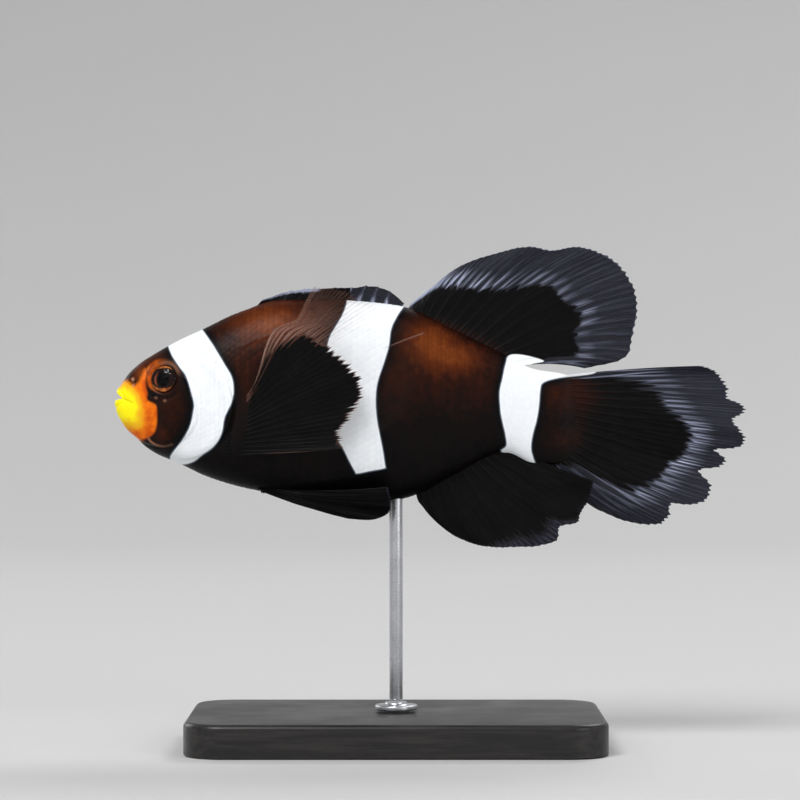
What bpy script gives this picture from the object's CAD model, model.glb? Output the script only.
"""Looks of a life-size black clownfish with long wavy fins, on a plain display stand.

The fish is laid out in percent of its standard length, from the tip of the snout: "along" runs back to the
tail, "across" to its right side and "up" above the snout. One skin covers head, trunk and tail stalk; thin
solid scales lie on it, and each fin is a thin closed sheet with its rays standing out of both sides.
"""

import math
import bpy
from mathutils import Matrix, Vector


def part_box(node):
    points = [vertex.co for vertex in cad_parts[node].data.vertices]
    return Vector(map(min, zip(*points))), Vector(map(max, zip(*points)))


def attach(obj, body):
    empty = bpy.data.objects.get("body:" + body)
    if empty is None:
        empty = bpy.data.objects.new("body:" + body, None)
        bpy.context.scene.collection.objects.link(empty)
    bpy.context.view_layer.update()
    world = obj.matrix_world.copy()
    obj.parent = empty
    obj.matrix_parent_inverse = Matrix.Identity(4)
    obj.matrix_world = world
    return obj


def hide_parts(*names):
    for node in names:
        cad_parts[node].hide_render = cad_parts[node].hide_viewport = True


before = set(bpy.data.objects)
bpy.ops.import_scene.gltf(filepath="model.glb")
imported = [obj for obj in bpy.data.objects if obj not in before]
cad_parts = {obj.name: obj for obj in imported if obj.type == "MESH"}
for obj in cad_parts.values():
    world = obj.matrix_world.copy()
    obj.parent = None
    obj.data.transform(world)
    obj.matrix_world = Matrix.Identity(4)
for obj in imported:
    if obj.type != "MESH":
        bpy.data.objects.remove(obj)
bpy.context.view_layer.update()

from types import SimpleNamespace

import bpy
import numpy as np
from bpy.props import FloatProperty, FloatVectorProperty, IntProperty, PointerProperty
from mathutils import Vector

bl_info = {
    "name": "Black clownfish",
    "version": (1, 0, 0),
    "blender": (4, 5, 0),
    "location": "View3D > Sidebar > Clownfish",
    "description": "Skin, scales, fins, eyes and stand of a life-size clownfish model",
    "category": "Add Mesh",
}

# ---------------------------------------------------------------- places, read from the frame
HEAD_FRONT, STALK_END = 0.4, 103.0  # where the head's and the tail stalk's solids end, in percent along
JAW_TOP = -0.45  # the top of the lower jaw's solid, in percent up
HEAD_BOX, STALK_BOX, JAW_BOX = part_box("head"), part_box("tail_stalk"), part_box("lower_jaw")
PERCENT = (STALK_BOX[1].x - HEAD_BOX[0].x) / (STALK_END - HEAD_FRONT)
SNOUT_X = HEAD_BOX[0].x - HEAD_FRONT * PERCENT
SNOUT_Z = JAW_BOX[1].z - JAW_TOP * PERCENT
MM = 0.001 / PERCENT  # one millimetre, in percent
EYE_BOXES = {-1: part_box("eye_left"), 1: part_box("eye_right")}
BASE_BOX, ROD_BOX, FLANGE_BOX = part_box("stand_base"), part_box("stand_rod"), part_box("stand_flange")
SIDES = {-1: "left", 1: "right"}

# ---------------------------------------------------------------- the body's shape
# Rings from the depth of the mouth out over the lips, each as three guide points:
# top (along, up), bottom (along, up), side (along, across, up).
MOUTH_RINGS = (
    (4.4, -0.1, 4.4, -0.3, 4.4, 0.0, -0.2),
    (3.0, 0.65, 2.9, -0.85, 3.3, 1.4, -0.15),
    (1.7, 0.80, 1.4, -0.80, 2.6, 2.05, -0.08),
    (0.90, 0.86, 0.42, -0.50, 2.10, 2.40, -0.05),
    (0.62, 1.36, 0.18, -1.00, 2.12, 2.78, -0.12),
    (0.80, 2.05, 0.20, -1.60, 2.40, 3.0, -0.35),
    (1.75, 3.25, 0.62, -3.2, 3.2, 3.5, -0.75),
    (3.3, 5.45, 2.35, -6.3, 4.3, 4.25, -1.15),
)
# Stations of the body: along, height of the back, depth of the belly, half the width.
STATIONS = (
    (5.2, 7.4, -9.4, 4.8),
    (9.0, 9.95, -12.3, 6.2),
    (14.0, 12.75, -14.5, 7.6),
    (20.0, 15.5, -17.3, 8.8),
    (27.0, 18.85, -19.6, 9.5),
    (35.0, 21.35, -21.3, 9.6),
    (45.0, 21.8, -22.8, 9.2),
    (56.0, 21.35, -23.4, 8.4),
    (66.0, 19.9, -22.3, 7.1),
    (76.0, 15.3, -17.2, 5.5),
    (88.0, 9.4, -12.2, 3.5),
    (94.0, 6.6, -14.8, 2.6),
    (100.0, 5.6, -14.8, 1.40),
    (102.6, 5.0, -13.9, 0.66),
    (105.4, 4.3, -12.8, 0.08),
)
WIDEST_AT = 0.47  # height of the widest point, as a share of the depth
SECTION_POWER = 2.2  # 2 is an ellipse, more is fuller
EYE_RADIUS, EYE_DEPTH = 3.3, 2.0  # the eyeball's half sizes across and along its axis
EYE_AT = (11.6, 4.25)
GILL_CENTRE, GILL_RADIUS = (14.8, -1.6), 12.3
CHEEK_CENTRE, CHEEK_RADIUS = (10.8, -2.0), 8.9

# ---------------------------------------------------------------- markings, in the side view
# Each outline is a row of (along, up), smoothed and closed by depth_inside.
BAND_HEAD = (
    (11.8, 13.0), (13.3, 9.6), (15.1, 6.9), (16.8, 4.5), (17.9, 1.0), (18.5, -1.4), (18.3, -3.2),
    (17.7, -5.9), (16.4, -8.5), (14.7, -10.7), (13.2, -12.5), (12.7, -13.6), (12.8, -15.8), (14.2, -15.6),
    (15.2, -14.95), (16.7, -14.7), (18.4, -14.0), (20.3, -12.6), (22.4, -11.2), (23.9, -9.4), (24.8, -7.3),
    (25.4, -4.2), (26.8, -1.2), (27.3, 1.6), (26.9, 4.6), (25.4, 7.2), (23.9, 9.7), (22.3, 12.2),
    (19.9, 15.4), (18.2, 18.0), (12.6, 15.6),
)
BAND_MIDDLE = (
    (52.6, 24.0), (52.2, 21.4), (51.4, 18.8), (50.0, 16.2), (48.4, 13.2), (47.3, 8.0), (47.0, 2.0),
    (47.8, -4.0), (49.8, -8.4), (51.7, -11.6), (53.0, -14.3), (54.2, -16.5), (54.5, -16.8), (57.6, -16.2),
    (60.7, -15.6), (60.8, -15.1), (60.1, -10.4), (59.1, -5.3), (58.7, -0.4), (59.1, 3.4), (60.5, 7.6),
    (61.6, 11.5), (62.1, 15.2), (63.4, 18.1), (65.4, 21.2), (66.6, 24.0),
)
BAND_TAIL = (
    (87.7, 7.6), (86.9, 4.2), (86.3, 0.9), (86.6, -3.6), (87.6, -8.0), (87.9, -10.6), (86.8, -12.0),
    (90.6, -13.6), (94.9, -16.2), (94.0, -13.6), (93.4, -11.2), (93.8, -8.0), (94.7, -4.7), (95.2, -1.3),
    (95.5, 2.0), (96.3, 3.5), (99.8, 4.5), (107.2, 5.4), (107.0, 6.4), (100.0, 6.5), (94.6, 6.9),
    (93.6, 7.6), (96.4, 8.3), (92.0, 9.6), (88.6, 9.6),
)
YELLOW_FACE = (
    (-0.8, 2.8), (1.4, 2.5), (2.7, 2.8), (3.6, 2.2), (4.7, 1.2), (5.4, 0.1), (6.0, -1.6), (6.4, -3.6),
    (7.0, -5.7), (7.0, -7.3), (5.6, -8.9), (4.0, -11.0), (0.0, -8.0), (-1.5, -3.0),
)
ORANGE_FACE = (
    (-0.8, 2.9), (1.4, 2.6), (2.7, 2.9), (3.6, 2.4), (4.4, 2.2), (5.2, 2.9), (6.0, 3.7), (6.5, 4.9),
    (7.2, 6.4), (7.8, 5.2), (7.6, 2.5), (7.9, 1.0), (7.8, 0.0), (8.2, -0.7), (9.1, -1.1), (9.9, -1.7),
    (10.1, -3.2), (10.1, -4.8), (9.9, -6.4), (9.5, -7.5), (8.8, -8.3), (7.9, -8.8), (6.7, -9.2),
    (5.9, -9.6), (4.0, -11.0), (0.0, -8.0), (-1.5, -3.0),
)
CHEEK_LINE = (
    (8.0, -8.9), (8.5, -9.7), (9.4, -10.3), (10.4, -10.65), (11.5, -10.8), (12.6, -10.6), (13.4, -10.3),
)
RING_AT, RING_RADIUS = (11.05, 4.95), 3.75  # the gold skin round the eye
DARK_EYE = (2.95, 2.2)  # half sizes of the dark middle of the eye, along and up
# Warm brown patches: along, up, reach along, reach up, strength.
WARM_PATCHES = (
    (35.5, 17.0, 9.0, 5.0, 0.60),
    (29.0, 8.0, 6.0, 8.0, 0.13),
    (70.6, 13.4, 5.6, 4.6, 0.50),
    (76.5, 8.8, 7.0, 3.8, 0.44),
    (70.0, 4.0, 10.0, 7.0, 0.08),
    (46.0, -14.0, 5.0, 3.0, 0.14),
    (98.5, 0.8, 4.5, 4.0, 0.13),
    (107.0, 0.8, 6.0, 3.4, 0.07),
    (101.0, -9.4, 5.5, 3.4, 0.22),
    (13.0, -3.5, 3.2, 6.0, 0.16),
    (10.6, -8.4, 2.6, 2.4, 0.30),
    (8.5, 8.4, 5.0, 3.0, 0.20),
    (5.9, 5.4, 1.5, 2.0, 0.45),
)
SOFT_DORSAL_BLACK = (
    (64.0, 17.0), (65.9, 20.4), (70.4, 23.6), (74.9, 24.8), (82.1, 24.7), (89.2, 24.7), (94.6, 25.5),
    (98.2, 24.3), (101.2, 21.7), (105.0, 18.8), (104.2, 16.2), (104.0, 12.6), (104.4, 10.4), (101.8, 9.0),
    (97.0, 8.6), (90.0, 5.0), (74.0, 11.0),
)
CAUDAL_BLACK = (
    (103.0, 4.9), (106.0, 4.7), (110.8, 5.0), (114.3, 4.4), (117.9, 3.2), (121.5, 1.6), (123.9, -1.7),
    (126.9, -5.4), (129.1, -8.1), (128.3, -11.4), (125.1, -14.2), (122.4, -17.7), (117.9, -20.0),
    (113.5, -20.4), (109.0, -18.0), (103.0, -15.5), (94.0, -14.0), (94.0, 4.0),
)
PECTORAL_BLACK = (
    (30.4, 0.0), (32.8, 5.7), (36.0, 10.1), (39.2, 12.4), (43.0, 13.8), (45.6, 12.5), (48.8, 10.6),
    (51.6, 7.8), (54.2, 4.9), (55.3, 1.6), (54.2, -1.6), (51.9, -4.9), (50.4, -8.4), (51.0, -11.4),
    (46.0, -14.1), (37.7, -14.3), (26.0, -14.5), (24.0, -10.0),
)
HIDE_FIELDS = ("band", "orange", "yellow", "warm", "pale", "shade")
FIN_FIELDS = ("dark", "ray", "reach", "warm", "band", "thread", "veil", "fringe", "edge")


def srgb(red, green, blue):
    """A linear colour from 0 to 255 paint values: c / 12.92 when dark, ((c + 0.055) / 1.055) ^ 2.4 above."""
    shares = (value / 255 for value in (red, green, blue))
    return tuple(c / 12.92 if c <= 0.04045 else ((c + 0.055) / 1.055) ** 2.4 for c in shares)


# ---------------------------------------------------------------- number helpers
def through(knots, values, at):
    """Smooth curves through rows of values at the knots, read at any places: cubic Hermite pieces whose
    slope at a knot is the mean of its two neighbours' slopes, each weighted by the other's length."""
    knots, values, at = (np.asarray(a, float) for a in (knots, values, at))
    steps = np.diff(knots)
    wide = steps.reshape(-1, *[1] * (values.ndim - 1))
    slopes = np.diff(values, axis=0) / wide
    inner = (slopes[:-1] * wide[1:] + slopes[1:] * wide[:-1]) / (wide[:-1] + wide[1:])
    tangents = np.concatenate([slopes[:1], inner, slopes[-1:]])
    i = np.clip(np.searchsorted(knots, at) - 1, 0, len(steps) - 1)
    t = (at - knots[i]) / steps[i]
    if values.ndim > 1:
        t = t[..., None]
        step = steps[i][..., None]
    else:
        step = steps[i]
    return (
        (2 * t**3 - 3 * t**2 + 1) * values[i]
        + (t**3 - 2 * t**2 + t) * step * tangents[i]
        + (3 * t**2 - 2 * t**3) * values[i + 1]
        + (t**3 - t**2) * step * tangents[i + 1]
    )


def ramp(value, start, end):
    """0 before start, 1 after end, and 3x^2 - 2x^3 between. start may be above end."""
    x = np.clip((value - start) / (end - start), 0, 1)
    return x * x * (3 - 2 * x)


def hump(value, middle, width):
    """A bell: exp(-((value - middle) / width)^2)."""
    return np.exp(-(((value - middle) / width) ** 2))


def rounded(outline, steps=5):
    """A closed outline smoothed by a Catmull-Rom curve through its points."""
    p = np.asarray(outline, float)
    before, after, beyond = np.roll(p, 1, 0), np.roll(p, -1, 0), np.roll(p, -2, 0)
    t = np.linspace(0, 1, steps, endpoint=False)[None, :, None]
    a, b, c, d = (x[:, None, :] for x in (before, p, after, beyond))
    curve = 0.5 * (2 * b + (c - a) * t + (2 * a - 5 * b + 4 * c - d) * t**2 + (3 * b - a - 3 * c + d) * t**3)
    return curve.reshape(-1, 2)


def line_distance(line, along, up):
    """Distance from an open line of straight pieces in the side view, the smallest to any piece."""
    nearest = np.full(np.shape(along), 1e9)
    for (x0, z0), (x1, z1) in zip(line, line[1:]):
        run, rise = x1 - x0, z1 - z0
        share = np.clip(((along - x0) * run + (up - z0) * rise) / (run * run + rise * rise + 1e-12), 0, 1)
        nearest = np.minimum(nearest, (along - x0 - share * run) ** 2 + (up - z0 - share * rise) ** 2)
    return np.sqrt(nearest)


def depth_inside(outline, along, up):
    """Distance from the rounded outline in the side view: above 0 inside it, below 0 outside. The sign comes
    from the even-odd count of crossings with its short edges."""
    corners = rounded(outline)
    corners = np.concatenate([corners, corners[:1]])
    inside = np.zeros(np.shape(along), bool)
    for (x0, z0), (x1, z1) in zip(corners, corners[1:]):
        if z1 != z0:
            inside ^= ((z0 > up) != (z1 > up)) & (along < x0 + (x1 - x0) * (up - z0) / (z1 - z0))
    return np.where(inside, 1, -1) * line_distance(corners, along, up)


def place(points):
    """Percent (along, across, up) to metres in the part's frame."""
    return np.asarray(points) * PERCENT + np.array([SNOUT_X, 0, SNOUT_Z])


def unit(vectors):
    """Vectors divided by their lengths."""
    return vectors / np.maximum(np.linalg.norm(vectors, axis=-1, keepdims=True), 1e-9)


# ---------------------------------------------------------------- meshes
def grid_quads(rows, columns, wrap=False):
    """Corner numbers of the quads of a grid stored row by row. wrap joins the last column to the first."""
    i = np.arange(rows - 1)[:, None]
    j = np.arange(columns if wrap else columns - 1)[None, :]
    k = (j + 1) % columns
    corners = [(i, j), (i, k), (i + 1, k), (i + 1, j)]
    return np.stack([row * columns + column for row, column in corners], -1).reshape(-1, 4)


def pole_fans(rows, columns, first, last):
    """Triangles that close a wrapped grid: its first row with the point numbered first, and its last row with
    the point numbered last."""
    ring = np.arange(columns)
    after, start = np.roll(ring, -1), (rows - 1) * columns
    front = np.stack([np.full(columns, first), after, ring], -1)
    rear = np.stack([np.full(columns, last), start + ring, start + after], -1)
    return np.concatenate([front, rear])


def corner_places(corners):
    """Texture coordinates of faces, corner by corner: corners holds (u, v) of each corner for all faces."""
    return np.stack([np.stack(np.broadcast_arrays(u, v), -1) for u, v in corners], 1).reshape(-1, 2)


def turned(profile, columns, centre, first, second, out):
    """A profile carried round an axis: centre + r (cos first + sin second) + height out, for first and second
    the two directions across the axis. The profile's ends lie on the axis and close the surface there."""
    angle = np.linspace(0, 2 * np.pi, columns, endpoint=False)
    ring = np.cos(angle)[:, None] * first + np.sin(angle)[:, None] * second
    grid = centre + profile[1:-1, None, :1] * ring[None] + profile[1:-1, None, 1:] * out
    ends = centre + profile[[0, -1], 1][:, None] * out
    points = np.concatenate([grid.reshape(-1, 3), ends])
    rows = len(profile) - 2
    caps = pole_fans(rows, columns, len(points) - 2, len(points) - 1)
    return points, grid_quads(rows, columns, wrap=True), caps


def new_piece(name, points, quads, triangles=(), fields=None, uv=None, flat_quads=None):
    """A mesh object from arrays: points in metres, quads and triangles as point numbers, fields as one number
    a point, uv as one pair a corner (quads first), flat_quads marking quads that are shaded flat."""
    points, quads = np.asarray(points).reshape(-1, 3), np.asarray(quads, np.int32).reshape(-1, 4)
    triangles = np.asarray(triangles, np.int32).reshape(-1, 3)
    corners = np.concatenate([quads.ravel(), triangles.ravel()])
    starts = np.concatenate([np.arange(len(quads)) * 4, 4 * len(quads) + np.arange(len(triangles)) * 3])
    mesh = bpy.data.meshes.new(name)
    mesh.vertices.add(len(points))
    mesh.vertices.foreach_set("co", points.astype(np.float32).ravel())
    mesh.loops.add(len(corners))
    mesh.loops.foreach_set("vertex_index", corners.astype(np.int32))
    mesh.polygons.add(len(starts))
    mesh.polygons.foreach_set("loop_start", starts.astype(np.int32))
    smooth = np.ones(len(starts), bool)
    if flat_quads is not None:
        smooth[: len(quads)] = ~flat_quads
        smooth[len(quads) :] = False
    mesh.polygons.foreach_set("use_smooth", smooth)
    for field, values in (fields or {}).items():
        layer = mesh.attributes.new(field, "FLOAT", "POINT")
        layer.data.foreach_set("value", np.asarray(values, np.float32).ravel())
    if uv is not None:
        layer = mesh.uv_layers.new(name="OFBake")
        layer.data.foreach_set("uv", np.asarray(uv, np.float32).ravel())
    mesh.update(calc_edges=True)
    mesh.validate(clean_customdata=False)
    piece = bpy.data.objects.new(name, mesh)
    bpy.context.scene.collection.objects.link(piece)
    return piece


def settle(piece, material, slot, *nodes):
    """Gives the piece its material, its slot in the record and the solids it stands for."""
    piece.data.materials.append(material)
    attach(piece, "root")
    if nodes:
        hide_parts(*nodes)


# ---------------------------------------------------------------- the body's surface
def body_rings():
    """All rings as guide points, with their places on one path: the running mean distance between rings."""
    rows = list(MOUTH_RINGS)
    for along, back, belly, half in STATIONS:
        rows.append((along, back, along, belly, along, half, belly + WIDEST_AT * (back - belly)))
    rows = np.array(rows)
    top, bottom, side = (np.diff(rows[:, k], axis=0) for k in (slice(0, 2), slice(2, 4), slice(4, 7)))
    step = sum(np.linalg.norm(d, axis=1) for d in (top, bottom, side)) / 3
    return np.concatenate([[0], np.cumsum(step)]), rows


# PATH[0] to PATH[7] are the mouth's rings. The lips meet between PATH[3] and PATH[4], and end between PATH[5]
# and PATH[6].
PATH, RINGS = body_rings()
SKIN_START, SKIN_END = PATH[0], PATH[-1]


def even_turns():
    """Ring angles that step evenly round a typical section, from the belly up the right side and down the
    left: the running length of a superellipse that is 2.2 times as high as wide."""
    angle = np.linspace(-np.pi / 2, 1.5 * np.pi, 2001)
    power = 2 / SECTION_POWER
    y = np.sign(np.cos(angle)) * np.abs(np.cos(angle)) ** power
    z = 2.2 * np.sign(np.sin(angle)) * np.abs(np.sin(angle)) ** power
    length = np.concatenate([[0], np.cumsum(np.hypot(np.diff(y), np.diff(z)))])
    return length / length[-1], angle


TURN_SHARE, TURN_ANGLE = even_turns()


def plain_body(path, turn):
    """The body without its small features. Each ring is a superellipse hung on its guide points:
    across = side |cos|^(2/n), up = side's height + (top or bottom - side) |sin|^(2/n), and along likewise."""
    guide = through(PATH, RINGS, path)
    angle = np.interp(np.mod(turn, 1.0), TURN_SHARE, TURN_ANGLE)
    power = 2 / SECTION_POWER
    rise = np.abs(np.sin(angle)) ** power
    upper = np.sin(angle) > 0
    end_along = np.where(upper, guide[..., 0], guide[..., 2])
    end_up = np.where(upper, guide[..., 1], guide[..., 3])
    along = guide[..., 4] + (end_along - guide[..., 4]) * rise
    across = guide[..., 5] * np.sign(np.cos(angle)) * np.abs(np.cos(angle)) ** power
    return np.stack([along, across, guide[..., 6] + (end_up - guide[..., 6]) * rise], -1)


def outward(surface, path, turn, step=0.02):
    """Unit normals of a surface of (path, turn), by differences: (d/d turn) x (d/d path)."""
    slide = surface(path + step, turn) - surface(path - step, turn)
    swing = surface(path, turn + step / 60) - surface(path, turn - step / 60)
    return unit(np.cross(swing, slide))


def flank(along, up):
    """How far the body's side stands out from its middle plane at a point of the side view."""
    stations = np.array(STATIONS)
    back, belly, half = (through(stations[:, 0], stations[:, k], along) for k in (1, 2, 3))
    widest = belly + WIDEST_AT * (back - belly)
    reach = np.where(up > widest, back - widest, widest - belly)
    share = np.clip(np.abs(up - widest) / reach, 0, 1)
    return half * (1 - share**SECTION_POWER) ** (1 / SECTION_POWER)


def eye_axes(side):
    """The eyeball's centre in percent, and its axes: towards the snout, up and outwards. Outwards is the
    flank's normal, from its slopes along and up by differences."""
    low, high = EYE_BOXES[side]
    centre = (np.array(low) + np.array(high)) / 2
    centre = (centre - np.array([SNOUT_X, 0, SNOUT_Z])) / PERCENT
    step = 0.2
    along, up = EYE_AT
    lean_along = (flank(along + step, up) - flank(along - step, up)) / (2 * step)
    lean_up = (flank(along, up + step) - flank(along, up - step)) / (2 * step)
    out = unit(np.array([-lean_along, side, -lean_up]))
    fore = unit(np.cross(np.array([0, 0, 1.0]), out) * side)
    top = np.cross(out, fore) * side
    return centre, fore, top, out


def eye_distance(points):
    """Distance of points from the nearer eye's axis, and the angle round it from the snout upwards."""
    distance = np.full(points.shape[:-1], 1e9)
    angle = np.zeros(points.shape[:-1])
    for side in SIDES:
        centre, fore, top, _ = eye_axes(side)
        x, z = (points - centre) @ fore, (points - centre) @ top
        r = np.where(points[..., 1] * side > 0, np.hypot(x, z), 1e9)
        angle = np.where(r < distance, np.arctan2(z, x), angle)
        distance = np.minimum(distance, r)
    return distance, angle


def arc_offset(points, centre, radius, from_deg, to_deg):
    """Distance outside an arc in the side view, and how strongly the arc counts: 1 between its ends, fading
    to 0 over 18 degrees past them."""
    x, z = points[..., 0] - centre[0], points[..., 2] - centre[1]
    angle = np.degrees(np.arctan2(z, x))
    angle = np.where(angle > 150, angle - 360, angle)
    inside = ramp(angle, from_deg - 18, from_deg) * ramp(angle, to_deg + 18, to_deg)
    return np.hypot(x, z) - radius, inside


# Height of the lateral line along the flank.
LATERAL_LINE = ((24, 34, 46, 60, 70, 78, 86, 96), (9.0, 13.6, 15.6, 15.4, 13.6, 9.4, 3.4, -2.5))
# Nostrils: along, up, the rim's radius, width and height, the pit's width and depth.
NOSTRILS = ((3.9, 3.7, 0.50, 0.20, 0.16, 0.30, 0.38), (4.9, 2.7, 0.34, 0.15, 0.08, 0.2, 0.2))


def features(points, path):
    """Height of the skin's features above the plain body, in percent, at points of the plain body."""
    along, across, up = points[..., 0], points[..., 1], points[..., 2]
    eye, eye_angle = eye_distance(points)
    height = -1.7 * ramp(eye, 3.10, 2.70)  # the socket
    height += 0.36 * hump(eye, 3.62, 0.48) * (1 + 0.30 * np.cos(eye_angle - 2.2))  # its rim
    height -= 0.14 * hump(eye, 4.65, 0.40)
    lateral = up - through(*LATERAL_LINE, along)
    height += 0.10 * hump(lateral, 0, 0.35) * ramp(along, 27, 30) * ramp(along, 86, 80)
    # The gill cover's free edge: it stands proud in front, and drops into a narrow slit behind.
    gill, strength = arc_offset(points, GILL_CENTRE, GILL_RADIUS, -78, 58)
    edge = 0.42 * hump(gill, -0.9, 1.6) * ramp(gill, 0.10, -0.12) - 0.36 * hump(gill, 0.28, 0.26)
    height += strength * edge
    # The cheek plate's edge: a soft ridge with a groove behind it.
    cheek, strength = arc_offset(points, CHEEK_CENTRE, CHEEK_RADIUS, -125, 52)
    height += strength * (0.16 * hump(cheek, -0.45, 0.5) - 0.20 * hump(cheek, 0.25, 0.32))
    # The bone under the eye, back to the cheek.
    under_eye = up - (0.4 - 0.20 * (along - 5.0))
    height += 0.10 * hump(under_eye, 0.35, 0.5) * ramp(along, 8.4, 10.4) * ramp(along, 14.0, 12.0)
    height -= 0.12 * hump(under_eye, -0.35, 0.3) * ramp(along, 8.4, 10.4) * ramp(along, 14.0, 12.0)
    # Lips: a groove behind each, and a fold back from the corner of the mouth.
    lip_end = PATH[5] + 0.45 * (PATH[6] - PATH[5])
    height -= 0.16 * hump(path, lip_end, 0.32)
    fold = np.hypot(np.maximum(np.abs(along - 3.6) - 0.9, 0), up + 0.55 + 0.45 * (along - 3.0))
    height -= 0.18 * hump(fold, 0, 0.22) * ramp(np.abs(across), 1.5, 2.4)
    # Nostrils: a pit in a raised rim.
    for at_along, at_up, radius, soft, rise, pit, depth in NOSTRILS:
        nostril = np.hypot(along - at_along, up - at_up)
        height += rise * hump(nostril, radius, soft) - depth * hump(nostril, 0, pit)
    # Ridges that carry the fins, along the back and the belly.
    middle = hump(across, 0, 1.1)
    height += 0.30 * middle * ramp(along, 30, 34) * ramp(along, 92, 86) * (up > 0)
    height += 0.25 * middle * ramp(along, 67, 70) * ramp(along, 90, 86) * (up < 0)
    # The pectoral fin's fleshy root.
    root = np.hypot((along - 28.6 - 0.24 * (up + 6)) / 1.5, (up + 6.4) / 6.6)
    height += 0.55 * hump(root, 0, 1.0) * ramp(gill, 0.3, 1.2)
    return height


def body(path, turn, lift=0.0):
    """The skin: the plain body moved along its normals by its features and by lift."""
    points = plain_body(path, turn)
    normals = outward(plain_body, path, turn)
    return points + normals * (features(points, path) + lift)[..., None]


# ---------------------------------------------------------------- colour fields
# The soft dorsal fin's root: share of its rays, along, up.
SOFT_DORSAL_BASE = (
    (0, 65.6, 18.6), (0.25, 70.5, 16.2), (0.5, 76.5, 13.4), (0.75, 83.0, 10.0), (1, 89.6, 7.0),
)
SOFT_DORSAL_RAYS = 15
# Pale spots on the face: along, up, size, strength.
PALE_SPOTS = ((4.5, 4.2, 0.34, 0.75), (4.7, 2.8, 0.26, 0.7), (9.9, 0.2, 0.3, 0.7), (11.9, -0.6, 0.3, 0.35))


def fin_bars(along, up):
    """Dark bars where the soft dorsal fin's rays meet the back: oblique lines that fade out below it."""
    stations = np.array(STATIONS)
    below = through(stations[:, 0], stations[:, 1], np.clip(along, 1, 102)) - up
    share, root, _ = np.array(SOFT_DORSAL_BASE).T
    ray = np.interp(along + 0.35 * below, root, share * (SOFT_DORSAL_RAYS - 1))
    bars = 0.25 * (1 + np.cos(4 * np.pi * ray)) * ramp(below, 3.4, 0.3) + 0.30 * ramp(below, 1.8, -0.2)
    return bars * ramp(along, 64, 68) * ramp(along, 91, 86)


def body_fields(points, path=None):
    """The markings at points of the fish, as numbers that skin, scales and fins share."""
    along, up = points[..., 0], points[..., 2]
    band = np.maximum.reduce([depth_inside(b, along, up) for b in (BAND_HEAD, BAND_MIDDLE, BAND_TAIL)])
    eye, eye_angle = eye_distance(points)
    soft = 0.30 + 0.35 * ramp(up, 0.5, 4.0) + 1.0 * ramp(up, -8.5, -11.0)
    orange = ramp(depth_inside(ORANGE_FACE, along, up), -soft, soft)
    around = np.hypot(along - RING_AT[0], up - RING_AT[1])
    angle = np.arctan2(up - RING_AT[1], along - RING_AT[0])
    ring = ramp(around, RING_RADIUS + 0.35, RING_RADIUS - 0.35) * (0.25 + 0.60 * np.cos(angle - 3.15))
    ring = ring * (0.76 + 0.24 * np.sin(7 * angle + 0.6) * np.cos(3 * angle))
    orange = np.maximum(orange, ring * ramp(along, 2.0, 6.0))
    yellow = ramp(depth_inside(YELLOW_FACE, along, up), -2.3, 2.6) * ramp(up, -9.6, -1.6)
    warm = 0.07 + 0.23 * ramp(up, -13.0, 4.0)
    for centre, height, reach, rise, strength in WARM_PATCHES:
        warm = warm + strength * np.exp(-(((along - centre) / reach) ** 2) - ((up - height) / rise) ** 2)
    warm = warm * ramp(up, -21.0, -11.0)
    pale = np.zeros_like(up)
    for at_along, at_up, size, strength in PALE_SPOTS:
        pale = pale + strength * hump(np.hypot(along - at_along, up - at_up), 0, size)
    pale = pale + 0.22 * hump(eye, 3.75, 0.60) * ramp(np.cos(eye_angle - 2.05), 0.50, 0.95)
    cheek = hump(line_distance(CHEEK_LINE, along, up), 0, 0.22)
    pale = pale + 0.50 * cheek * (0.30 + 0.70 * ramp(along, 12.4, 8.6))
    shade = 0.75 * hump(np.hypot(along - 9.6, (up - 0.7) * 1.6), 0, 0.75) + fin_bars(along, up)
    shade = shade + 0.6 * hump(eye, 4.15, 0.35) * ramp(np.cos(eye_angle - 2.2), 0.3, -0.4)
    if path is not None:
        shade = shade + ramp(path, 0.5 * (PATH[3] + PATH[4]), PATH[2])
    fields = {"band": band, "orange": orange, "yellow": yellow, "warm": warm}
    return {**fields, "pale": np.clip(pale, 0, 1), "shade": np.clip(shade, 0, 1)}


def girths():
    """Places of the path, and the distance round the body at each, in percent."""
    path = np.linspace(SKIN_START, SKIN_END, 200)
    grid = plain_body(path[:, None], np.linspace(0, 1, 240)[None, :])
    return path, np.linalg.norm(np.diff(grid, axis=1), axis=-1).sum(1)


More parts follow.
